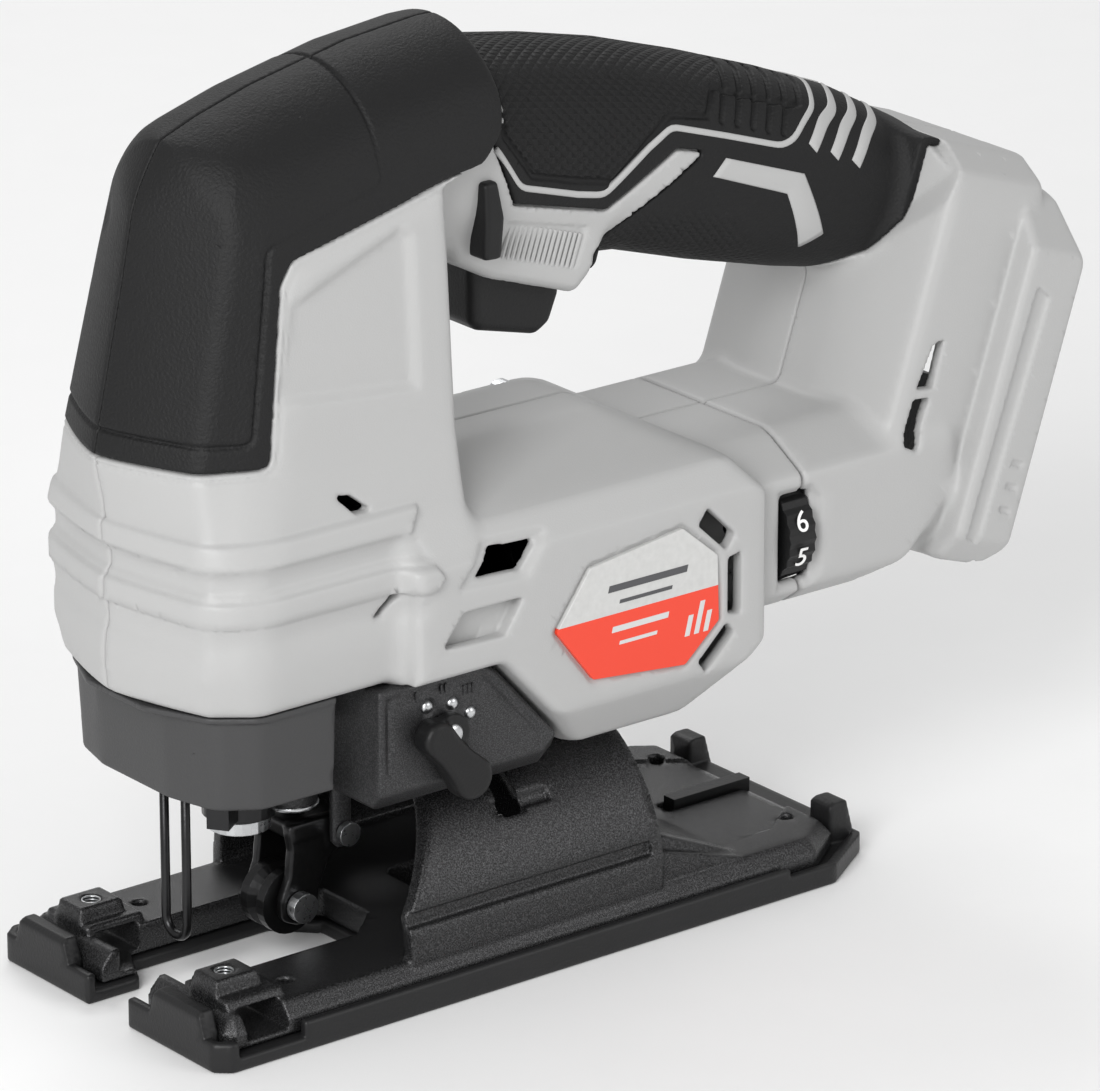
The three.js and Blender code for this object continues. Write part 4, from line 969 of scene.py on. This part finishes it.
def base_plate():
    """Cast foot plate: bosses for the guide screws, side rails, tilt saddle and the ramp behind it."""
    g = Grid((3.5, -37.6, 2.4), (172.5, 37.6, 46.6), 0.58)
    w = np.abs(g.y)
    lower = outline(PLATE_PLAN, g.x, w)
    plate = both(both(lower + np.maximum(g.z - 6.6, 0) * 0.75, g.z - 10, 0.5), 3.4 - g.z)
    bridge = both(both(slab(g.x, 7, 21.5), both(slab(w, 17, 33.4), (w - 33.4) + (g.z - 9) * 0.6, 0.6), 0.6),
        slab(g.z, 3.4, 12.2), 0.8)
    boss = both(both(slab(g.x, 6.8, 18.7), slab(w, 19.2, 28.8), 0.6) + np.maximum(g.z - 12, 0) * 0.22,
        slab(g.z, 6, 15.3), 0.6)
    body = np.minimum(np.minimum(plate, bridge), boss)
    rail = both(both(outline(RAIL_SIDE, g.x, g.z), slab(w, 28, 34.1), 0.8), 3.4 - g.z)
    ramp = both(outline(RAMP_SIDE, g.x, g.z), w - 31.6, 1.2)
    body = np.minimum(np.minimum(body, rail), ramp)
    body = np.where(g.x > 118, sunk(body, outline(PANEL_PLAN, g.x, w), 0.9, 0.5), body)
    across = np.hypot(g.y, g.z - TILT_Z)
    ring = both(across - SADDLE_RADIUS, 31.9 - across, 0.5)
    saddle = both(both(ring, outline(SADDLE_SIDE, g.x, g.z), 0.7), 4 - g.z)
    saddle = np.maximum(saddle, -np.maximum(slab(g.z, 16.9, 19.9), 32.9 - w))
    rib = np.maximum(np.maximum(slab(g.x, 116.4, 119.4), across - 35.35), np.maximum(32 - across, 12 - g.z))
    body = np.minimum(body, np.minimum(saddle, rib))
    body = np.maximum(body, -np.maximum(np.maximum(across - 31.9, slab(g.x, 40, 115)), 10.1 - g.z))
    body = sunk(body, both(slab(g.x, 80, 95), slab((w - 26.2) * 0.69 - (g.z - 34.2) * 0.72, -1.6, 1.6),
        0.8), 1.3, 0.4)
    arc = np.maximum(slab(g.x, 82.2, 87.8), (w * 0.7925 + TILT_Z) - g.z)
    body = np.maximum(body, -arc)
    body = np.maximum(body, -np.maximum(slab(g.x, 9.2, 19.4), slab(g.z, 4.6, 10.2)))
    for x, at, radius, bottom in ((12.65, 23.6, 2.1, 9), (26.4, 25.7, 1.6, 5.5), (163.4, 22.0, 1.7, 5.5)):
        hole = np.hypot(g.x - x, w - at)
        body = without(body, np.maximum(hole - radius, bottom - g.z), 0.5)
    body = np.maximum(body, -outline(SLOT_PLAN, g.x, w))
    body = np.maximum(body, -outline(KEY_PLAN, g.x, w))
    body = np.maximum(body, -np.maximum(np.maximum(slab(g.x, 147, 171.4), w - 2.2), 7.4 - g.z))
    return skinned("foot_plate", body, g, PAINT, 1, 0.02)


def repeat_tree(name, sockets):
    """A Geometry Nodes tree with the given inputs, and its input node."""
    tree = bpy.data.node_groups.new(name, "GeometryNodeTree")
    inputs = [
        tree.interface.new_socket(label, in_out="INPUT", socket_type=kind) for label, kind in sockets
    ]
    tree.interface.new_socket("Geometry", in_out="OUTPUT", socket_type="NodeSocketGeometry")
    return tree, inputs, tree.nodes.new("NodeGroupInput")


def copies_on(tree, points, shape, finish, turn=(0, 0, 0)):
    """Sets a copy of the shape on every point and ends the tree with real geometry in one finish."""
    new, link = tree.nodes.new, tree.links.new
    scatter = new("GeometryNodeInstanceOnPoints")
    scatter.inputs["Rotation"].default_value = turn
    link(points, scatter.inputs["Points"])
    link(shape, scatter.inputs["Instance"])
    real = new("GeometryNodeRealizeInstances")
    link(scatter.outputs["Instances"], real.inputs["Geometry"])
    coloured = new("GeometryNodeSetMaterial")
    coloured.inputs["Material"].default_value = finish
    link(real.outputs["Geometry"], coloured.inputs["Geometry"])
    link(coloured.outputs["Geometry"], new("NodeGroupOutput").inputs["Geometry"])


THREAD_PITCH = 0.0007  # metres
THREAD_WIRE = 0.00022  # radius of one bright turn, in metres


def thread_rings(name, x, y, top, radius, turns):
    """Bright turns of a tapped hole, as one stack of rings."""
    tree, (pitch_in, turns_in), group_in = repeat_tree(
        name, [("Pitch", "NodeSocketFloat"), ("Turns", "NodeSocketInt")]
    )
    new, link = tree.nodes.new, tree.links.new
    stack = new("GeometryNodeMeshLine")
    stack.inputs["Start Location"].default_value = ((x - SOLE_ORIGIN) / 1000, y / 1000, top / 1000)
    step = new("ShaderNodeCombineXYZ")
    link(group_in.outputs[pitch_in.name], step.inputs["Z"])
    link(step.outputs["Vector"], stack.inputs["Offset"])
    link(group_in.outputs[turns_in.name], stack.inputs["Count"])
    circle = new("GeometryNodeCurvePrimitiveCircle")
    circle.inputs["Resolution"].default_value = 24
    circle.inputs["Radius"].default_value = radius / 1000
    wire = new("GeometryNodeCurvePrimitiveCircle")
    wire.inputs["Resolution"].default_value = 6
    wire.inputs["Radius"].default_value = THREAD_WIRE
    solid = new("GeometryNodeCurveToMesh")
    link(circle.outputs["Curve"], solid.inputs["Curve"])
    link(wire.outputs["Curve"], solid.inputs["Profile Curve"])
    copies_on(tree, stack.outputs["Mesh"], solid.outputs["Mesh"], STEEL)
    return made_by_nodes(name, tree, {pitch_in.identifier: -THREAD_PITCH, turns_in.identifier: turns})


def made_by_nodes(name, tree, values):
    """Runs a Geometry Nodes tree and keeps its result as a plain mesh."""
    start = bpy.data.objects.new(name, bpy.data.meshes.new(name))
    bpy.context.scene.collection.objects.link(start)
    modifier = start.modifiers.new("repeat", "NODES")
    modifier.node_group = tree
    for identifier, value in values.items():
        modifier[identifier] = value
    seen = start.evaluated_get(bpy.context.evaluated_depsgraph_get())
    result = bpy.data.meshes.new_from_object(seen)
    start.modifiers.clear()
    start.data = result
    return start


SHOE_PLAN = rounded([(0, -5), (0, 36.7), (3.3, 39.5), (163, 39.5), (179.3, 29), (179.3, -5)],
    [0, 1.5, 1.5, 3, 3, 0])
MOUTH_PLAN = [(-5, -5), (-5, 7), (13, 7), (17, 15), (52, 15), (60, 7), (60, -5)]


def shoe():
    """Plastic anti-scratch shoe: floor, side walls, upstands at its corners."""
    g = Grid((-0.6, -40.1, -0.5), (180, 40.1, 12.8), 0.5)
    w = np.abs(g.y)
    plan = outline(SHOE_PLAN, g.x, w)
    floor_part = both(plan, slab(g.z, 0, 3.0), 0.4)
    wall = both(both(plan, slab(g.z, 0, 6.5), 0.5), -(plan + 2.3))
    wall = np.maximum(wall, -np.maximum(4.6 - g.z, 150.5 - g.x))
    wall = np.maximum(wall, -np.maximum(slab(g.x, 5, 21.5), 3 - g.z))
    front = both(both(outline(rounded([(0.1, 1), (0.1, 10.6), (1.2, 11.6), (4.0, 11.6), (4.0, 1)], 0.5),
        g.x, g.z), slab(w, 14.6, 33.4) + np.maximum(g.z - 7, 0) * 0.35, 0.5), g.x - 4.0)
    corner = both(outline(rounded([(171.5, 2), (171.5, 11.4), (173, 12.2), (176.4, 12.2), (178.6, 4)], 0.5),
        g.x, g.z), slab(w, 20.5, 27.5), 0.6)
    low_rear = both(slab(g.x, 171.5, 177.4), both(w - 27.4, slab(g.z, 2, 6.2), 0.4), 0.4)
    body = np.minimum(np.minimum(floor_part, wall), np.minimum(front, np.minimum(corner, low_rear)))
    body = np.maximum(body, -outline(MOUTH_PLAN, g.x, w))
    body = np.maximum(body, -outline(KEY_PLAN, g.x, w))
    return skinned("shoe", body, g, SHOE, 1, 0.03)


put(shoe(), "base", "black_plastic", "sole")
put(base_plate(), "base", "base_paint", "base_plate")
for sign, hand in ((-1, "left"), (1, "right")):
    put(thread_rings(f"guide_thread_{hand}", 12.65, sign * 23.6, 14.9, 1.95, 6), "base", "steel")

# ---------------------------------------------------------------- skirt and gear case

def skirt():
    """Dark chip shield round the blade clamp, open at its foot and its rear."""
    g = Grid((2.5, -31.2, 49), (39, 31.2, 71.3), 0.45)
    w = np.abs(g.y)
    plan = outline(rounded([(8.0, -5), (8.0, 11.6), (11, 23.5), (19.3, 29.0), (46, 29.2), (46, -5)],
        [0, 6, 7, 5, 0, 0]), g.x, w)
    grow = (g.z - 50) / 20.6
    skin = plan - 1.0 * grow
    wall = both(both(skin, slab(g.z, 50, 70.55), 0.7), -(skin + 2.2))
    rim = np.maximum(np.maximum(outline(rounded([(3.4, -5), (3.4, 10), (9.6, 24), (18, 30.4), (38.5, 30.4),
        (38.5, -5)], [0, 4, 4, 4, 0, 0]), g.x, w), slab(g.z, 69.3, 70.7)), -(skin + 2.2))
    block = both(both(slab(g.x, 15, 20.6), w - 7, 0.6), slab(g.z, 57, 69), 0.6)
    body = np.minimum(np.minimum(wall, rim), block)
    body = np.maximum(body, g.x - 37.0)
    for sign in (-1, 1):
        body = np.maximum(body, 1.25 - np.hypot(g.x - 17.8, g.y - sign * 3.75))
    return skinned("chip_shield", body, g, SKIRT, 1, 0.01)


SLEEVE_X = 47.6  # of the push rod's sleeve
CASE_SIDE = rounded([(45.5, 70.4), (45.5, 44.6), (47, 43.2), (98.2, 43.2), (75.8, 68.2), (72.6, 70.4)],
    [0.6, 0.5, 0.5, 1, 2.5, 2.5])
CASE_FRONT = rounded([(-5, 43.2), (29.6, 43.2), (33.4, 47.6), (33.4, 71), (-5, 71)], [0, 1.5, 2, 0, 0])


def gear_case():
    """Cast gear case: sides with the orbit detents, bulkhead, guide arm, fork arms and push-rod sleeve."""
    g = Grid((26.5, -34, 26), (99, 34, 138.6), 0.55)
    w = np.abs(g.y)
    shell = both(outline(CASE_SIDE, g.x, g.z), outline(CASE_FRONT, w, g.z), 0.7)
    right = (g.x - 88.5) * 0.716 - (g.z - 48.2) * 0.698
    shell = np.maximum(shell, (right + (w - 33.4) * 1.0) * 0.707)
    rim = outline(CASE_SIDE, g.x, g.z) + 2.4
    shell = np.where((w > 31) & (g.z > 52), scored(shell, rim, 0.7, 0.55), shell)
    for x, z in ((57.9, 64.3), (64.4, 63.6), (69.0, 60.5)):
        shell = np.where(w > 31, sunk(shell, np.hypot(g.x - x, g.z - z) - 2.1, 0.6, 0.8), shell)
    hollow = np.minimum(box_field(g, 49.5, 72, -29.5, 29.5, 50, 80),
        box_field(g, 64.5, 82, -29.5, 29.5, 50, 61))
    shell = np.maximum(shell, -hollow)
    bulkhead = np.minimum(box_field(g, 58.5, 63.5, -22, 22, 46, 138, 0.6),
        box_field(g, 27, 63.5, -7.5, 7.5, 130, 138, 0.6))
    arm = np.minimum(box_field(g, 27, 49, -7.5, 7.5, 72.6, 81.2, 0.6),
        box_field(g, 42, 49, -16, 16, 72.6, 81.2, 0.6))
    link = both(both(slab(g.x, 42, 49.4), slab(w, 8, 16)), slab(g.z, 60, 81.2))
    fork_arm = both(outline(rounded([(51.6, 48), (51.6, 28.2), (53.0, 26.7), (55.2, 26.7), (56.3, 28.2),
        (56.3, 48)], 0.6), g.x, g.z), slab(w, 7.1, 9.2), 0.5)
    sleeve = rod_field(g.x, g.y, g.z, (SLEEVE_X, 0), 5.4, 35.3, 48, 0.5)
    body = np.minimum(np.minimum(np.minimum(shell, bulkhead), np.minimum(arm, link)),
        np.minimum(fork_arm, sleeve))
    across = np.hypot(g.y, g.z - TILT_Z)
    seat = np.maximum(across - 35.7, np.maximum(57.5 - g.x, 20 - g.z))
    seat = np.minimum(seat, np.maximum(np.maximum(across - 35.7, slab(g.x, 51.2, 57.6)), 10 - w))
    body = np.maximum(body, -seat)
    for a, b, x, y, radius in ((g.y, g.z, 0, 79, 5.3), (g.y, g.z, 0, 103.5, 3.3)):
        body = np.maximum(body, -np.maximum(np.hypot(a - x, b - y) - radius, slab(g.x, 50, 70)))
    body = np.maximum(body, -np.maximum(np.hypot(g.x - 34, g.y) - 5.3, 60 - g.z))
    body = np.maximum(body, -np.maximum(np.hypot(g.x - 85, g.y) - 2.3, slab(g.z, 30, 60)))
    body = np.maximum(body, -np.maximum(np.hypot(g.x - 50, g.y) - 2.3, slab(g.z, 30, 60)))
    body = np.maximum(body, -np.maximum(np.hypot(g.x - 54.5, g.z - 30) - 1.4, w - 20))
    body = np.maximum(body, -np.maximum(np.hypot(g.x - 62, g.z - 58.3) - 3.3, g.y + 23))
    body = np.maximum(body, -box_field(g, 44, 49.3, -5.5, 5.5, 43, 72))
    return skinned("gear_case", body, g, CAST, 1, 0.02)


def turned(name, section, finish, to_place, segments=48):
    """A turned piece: (radius, along) pairs spun about its own axis, then put in place point by point."""
    vertices, faces = [], []
    n = len(section)
    for k in range(segments):
        a = 2 * math.pi * k / segments
        vertices += [to_place(r * math.cos(a), r * math.sin(a), t) for r, t in section]
    for k in range(segments):
        for i in range(n - 1):
            a, b = k * n + i, ((k + 1) % segments) * n + i
            faces.append((a, b, b + 1, a + 1))
    piece = new_object(name, vertices, faces, finish)
    return facing_out(piece, 1e-7)


def lever():
    g = Grid((49, -40.5, 41), (73, -33.4, 66), 0.36)
    t = np.clip(((g.x - 57.2) * 8.4 + (g.z - 58.8) * -10.2) / (8.4 ** 2 + 10.2 ** 2), 0, 1)
    reach = np.hypot(g.x - 57.2 - 8.4 * t, g.z - 58.8 + 10.2 * t)
    blade = reach - (3.9 + 0.9 * t - 0.7 * np.sin(np.pi * t))
    hub = np.hypot(g.x - 62, g.z - 58.3) - 4.4
    body = both(either(blade, np.maximum(hub, -36.4 - g.y), 1.5), slab(g.y, -39.3, -33.9), 1.3)
    body = np.minimum(body, both(hub, slab(g.y, -36.2, -33.9), 0.5))
    piece = skinned("orbit_handle", body, g, BLACK, 1)
    axle = turned("orbit_axle",
        [(0, -37.0), (1.9, -37.0), (2.4, -36.5), (2.4, -35.8), (2.9, -35.8), (2.9, -23.6), (0, -23.6)],
        STEEL, lambda a, b, t: (62 + a, t, 58.3 + b), 32)
    return piece, axle


def detents():
    """Bright pips of the three orbit steps, and the bars that number them."""
    for k, (x, z) in enumerate(((57.9, 64.3), (64.4, 63.6), (69.0, 60.5))):
        pip = turned(f"orbit_pip_{k + 1}",
            [(0, -33.7), (0.5, -33.65), (1.0, -33.45), (1.35, -33.1), (1.45, -32.4), (0, -32.4)], STEEL,
            lambda a, b, t, x=x, z=z: (x + a, t, z + b), 24)
        put(pip, "housing", "steel")
    for k, (x, z, count) in enumerate(((54.6, 66.3, 1), (61.0, 66.6, 2), (66.8, 65.0, 3))):
        for i in range(count):
            at = x + i * 1.15
            bar = prism(f"orbit_number_{k + 1}_{i + 1}",
                [(at, z), (at + 0.4, z), (at + 0.4, z + 2.1), (at, z + 2.1)], -33.62, -33.2, CAST, 0.05)
            put(bar, "housing", "cast_alloy")


put(skirt(), "housing", "dark_plastic", "front_skirt")
put(gear_case(), "housing", "cast_alloy", "gearbox")
handle_piece, axle_piece = lever()
put(handle_piece, "orbit_lever", "black_plastic", "orbit_lever")
put(axle_piece, "orbit_lever", "steel")
detents()

# ---------------------------------------------------------------- roller fork, wire guard

FORK_SIDE = rounded(
    [(41.4, 33.4), (52, 33.4), (57.4, 33), (57.4, 27.0), (52.2, 24.2), (49.8, 18.5), (48.9, 13.0),
    (44.6, 10.6), (40.0, 12.6), (39.8, 17.2), (41.8, 22), (42.4, 28)],
    [2, 2, 1, 1, 2, 3, 2.5, 3, 2.5, 2.5, 3, 2],
)


def roller_fork():
    g = Grid((38.5, -7.4, 9.5), (58.6, 7.4, 35), 0.34)
    w = np.abs(g.y)
    cheeks = both(outline(FORK_SIDE, g.x, g.z), slab(w, 4.4, 6.7), 0.5)
    neck = both(both(outline(rounded([(42, 33.8), (57.4, 33.0), (57.4, 27), (51.6, 26.2), (50.8, 29.6),
        (43, 29.6)], 1.0), g.x, g.z), w - 6.6, 0.8), g.z - 34.1)
    body = either(cheeks, neck, 0.8)
    for x, z, radius in ((54.5, 30, 1.6), (44, 15.5, 1.8)):
        body = np.maximum(body, radius - np.hypot(g.x - x, g.z - z))
    return skinned("guide_fork", body, g, BLACKED, 1)


def wire_guard():
    """Bent wire in front of the blade."""
    path = [(17.8, -3.75, 66.6)]
    for k in range(13):
        a = math.pi * k / 12
        path.append((17.8, -3.75 * math.cos(a), 17.0 - 3.75 * math.sin(a) * 0.95))
    path.append((17.8, 3.75, 66.6))
    rings = []
    for k, p in enumerate(path):
        a, b = np.array(path[max(k - 1, 0)]), np.array(path[min(k + 1, len(path) - 1)])
        along = (b - a) / np.linalg.norm(b - a)
        across = np.array((0, -along[2], along[1]))
        rings.append([tuple(np.array(p)
            + 0.98 * (math.cos(t) * across + math.sin(t) * np.array((1, 0, 0))))
            for t in np.linspace(0, 2 * math.pi, 13)[:-1]])
    vertices, faces = [], []
    tube_mesh(rings, vertices, faces)
    piece = new_object("bent_wire", vertices, faces, BLACKED)
    return facing_out(piece)


put(roller_fork(), "roller_fork", "dark_steel", "roller_fork")
put(wire_guard(), "housing", "dark_steel", "wire_guard")
ring_around_sleeve = turned("sleeve_rim",
    [(4.4, 35.1), (5.3, 35.1), (5.6, 35.4), (5.6, 36.1), (5.3, 36.4), (4.4, 36.4), (4.4, 35.1)], STEEL,
    lambda a, b, t: (SLEEVE_X + a, b, t), 40)
put(ring_around_sleeve, "housing", "steel")

# ---------------------------------------------------------------- trigger, lock-off button, speed dial

TRIGGER_SIDE = rounded([(89.3, 151), (89.4, 133.4), (91.4, 131.4), (106.6, 127.5), (110.2, 129.6),
    (112.6, 135.4), (114, 146), (114, 154), (107, 154), (103.5, 151)], [0, 2, 1.5, 3, 3, 3, 0, 0, 0, 0])


def trigger():
    g = Grid((88.4, -9, 126.4), (115, 9, 155), 0.42)
    body = both(outline(TRIGGER_SIDE, g.x, g.z), np.abs(g.y) - 8, 2.2)
    body = np.maximum(body, 1.8 - np.hypot(g.x - 111, g.z - 151))
    body = np.maximum(body, -box_field(g, 92, 104, -6, 6, 137, 160))
    return skinned("trigger_cap", body, g, BLACK, 1)


def lock_button():
    g = Grid((82.4, -21.6, 150.4), (88.9, 21.6, 168.6), 0.4)
    side = outline(rounded([(83.1, 151.3), (87.6, 151.1), (88.1, 160), (86.6, 167.8), (83.1, 167.8)], 1.0),
        g.x, g.z)
    body = both(side, np.abs(g.y) - 20.8 + 0.05 * np.abs(g.z - 159.5), 1.0)
    return skinned("lock_button", body, g, BLACK, 1)


def dial_marks():
    """Plain numerals on the rim of the speed dial."""
    x, y, z = DIAL
    ink = material("dial_ink", (0.88, 0.88, 0.87), 0.45)[0]
    for figure, turn in (("6", 20), ("5", -20), ("4", -60), ("3", -100), ("2", -140), ("1", -180)):
        curve = bpy.data.curves.new(f"numeral_{figure}", "FONT")
        curve.body = figure
        curve.size = 0.0066
        curve.align_x, curve.align_y = "CENTER", "CENTER"
        curve.extrude = 0.00008
        maker = bpy.data.objects.new(f"numeral_maker_{figure}", curve)
        bpy.context.scene.collection.objects.link(maker)
        mesh = bpy.data.meshes.new_from_object(maker.evaluated_get(bpy.context.evaluated_depsgraph_get()))
        bpy.data.objects.remove(maker)
        lay_up = Matrix.Rotation(math.radians(90), 4, "X")
        lift = Matrix.Translation((0, -0.01155, 0))
        about = Matrix.Rotation(math.radians(-turn), 4, "X")
        to_dial = Matrix.Translation(((x - SOLE_ORIGIN) / 1000, y / 1000, z / 1000))
        mesh.transform(to_dial @ about @ lift @ lay_up)
        mesh.name = f"dial_figure_{figure}"
        mesh.materials.append(ink)
        piece = bpy.data.objects.new(f"dial_figure_{figure}", mesh)
        bpy.context.scene.collection.objects.link(piece)
        put(piece, "speed_dial", "label")


RIB_COUNT = 15
RIB_PITCH = 1.36
RIB_RADIUS = 0.47
RIB_LENGTH = 7.6
RIB_FIRST = (92.9, 14.75, 152.5)  # middle of the front rib, on the right side
RIB_SLANT = math.radians(19)


def fingertip_ribs(name, sign):
    """Fine slanted ribs in the bed below the handle's front end."""
    tree, (count_in, pitch_in), group_in = repeat_tree(
        name, [("Ribs", "NodeSocketInt"), ("Pitch", "NodeSocketFloat")]
    )
    new, link = tree.nodes.new, tree.links.new
    x, y, z = RIB_FIRST
    row = new("GeometryNodeMeshLine")
    row.inputs["Start Location"].default_value = ((x - SOLE_ORIGIN) / 1000, sign * y / 1000, z / 1000)
    step = new("ShaderNodeVectorMath")
    step.operation = "SCALE"
    step.inputs[0].default_value = (0.95, 0, -0.30)
    link(group_in.outputs[pitch_in.name], step.inputs["Scale"])
    link(step.outputs["Vector"], row.inputs["Offset"])
    link(group_in.outputs[count_in.name], row.inputs["Count"])
    rib = new("GeometryNodeMeshCylinder")
    rib.inputs["Vertices"].default_value = 6
    rib.inputs["Radius"].default_value = RIB_RADIUS / 1000
    rib.inputs["Depth"].default_value = RIB_LENGTH / 1000
    copies_on(tree, row.outputs["Mesh"], rib.outputs["Mesh"], GREY, (0, RIB_SLANT, 0))
    values = {count_in.identifier: RIB_COUNT, pitch_in.identifier: RIB_PITCH / 1000}
    return made_by_nodes(name, tree, values)


for sign, hand in ((-1, "left"), (1, "right")):
    put(fingertip_ribs(f"fingertip_ribs_{hand}", sign), "housing", "grey_plastic")
put(trigger(), "trigger", "black_plastic", "trigger")
put(lock_button(), "lock_off_button", "black_plastic", "lock_off_button")
dial_marks()

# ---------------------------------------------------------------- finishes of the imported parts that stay


def dress(names, finish):
    for node in names:
        shown = NODES[node]
        shown.data.materials.clear()
        shown.data.materials.append(finish)


dress(["hex_key", "guide_roller", "clamp_lever"], BLACKED)
dress(["roller_pin", "fork_pin", "clamp_body", "plunger", "push_rod", "trigger_pin", "gear_axle", "rotor",
    "clamp_bolt"], STEEL)
dress(["pinion_bearing", "front_bearing", "rear_bearing"] + [f"housing_screw_{k}" for k in range(1, 9)],
    STEEL)
dress(["drive_gear", "motor_can"], BLACKED)
dress(["stator", "contact_1", "contact_2", "contact_3"], COPPER)
dress(["lower_bush", "upper_bush"], BRONZE)
dress(["controller_board", "dial_sensor"], BOARD)
dress(["clamp_shoe"], CAST)
dress(["fan", "end_cap", "switch_module", "terminal_block", "speed_dial"], BLACK)

# ---------------------------------------------------------------- camera, floor and light


def camera():
    data = bpy.data.cameras.new("camera")
    data.sensor_fit = "HORIZONTAL"
    data.sensor_width = 36
    data.lens = 234.3
    data.clip_start = 0.05
    seen = bpy.data.objects.new("camera", data)
    bpy.context.scene.collection.objects.link(seen)
    place = Vector(((-767.0 - SOLE_ORIGIN) / 1000, -1.1138, 0.5969))
    target = Vector(((114.1 - SOLE_ORIGIN) / 1000, -0.0024, 0.0779))
    seen.location = place
    seen.rotation_mode = "QUATERNION"
    seen.rotation_quaternion = (target - place).to_track_quat("-Z", "Y")
    bpy.context.scene.camera = seen


def floor():
    verts = [(-3, -3, 0), (3, -3, 0), (3, 3, 0), (-3, 3, 0)]
    mesh = bpy.data.meshes.new("floor")
    mesh.from_pydata(verts, [], [(0, 1, 2, 3)])
    mesh.materials.append(grained("pale_floor", (0.93, 0.93, 0.93), 0.6, 300, 0.00002, 0.01))
    plane = bpy.data.objects.new("floor", mesh)
    bpy.context.scene.collection.objects.link(plane)


def lamp(name, place, size, power, target=(0.0, 0.0, 0.09)):
    data = bpy.data.lights.new(name, "AREA")
    data.shape = "RECTANGLE"
    data.size, data.size_y = size
    data.energy = power
    o = bpy.data.objects.new(name, data)
    bpy.context.scene.collection.objects.link(o)
    o.location = place
    o.rotation_mode = "QUATERNION"
    o.rotation_quaternion = (Vector(target) - Vector(place)).to_track_quat("-Z", "Y")


def lighting():
    bpy.context.scene.view_settings.view_transform = "Standard"
    bpy.context.scene.view_settings.exposure = 0.38
    world = bpy.data.worlds.new("studio")
    world.use_nodes = True
    world.node_tree.nodes["Background"].inputs["Color"].default_value = (1, 1, 1, 1)
    world.node_tree.nodes["Background"].inputs["Strength"].default_value = 0.42
    bpy.context.scene.world = world
    lamp("key", (-1.25, -0.75, 0.85), (0.8, 0.9), 15)
    lamp("fill", (0.7, -1.3, 0.7), (0.7, 0.7), 3.2)
    lamp("back", (0.5, 1.1, 1.3), (0.9, 0.5), 5)


camera()
floor()
lighting()
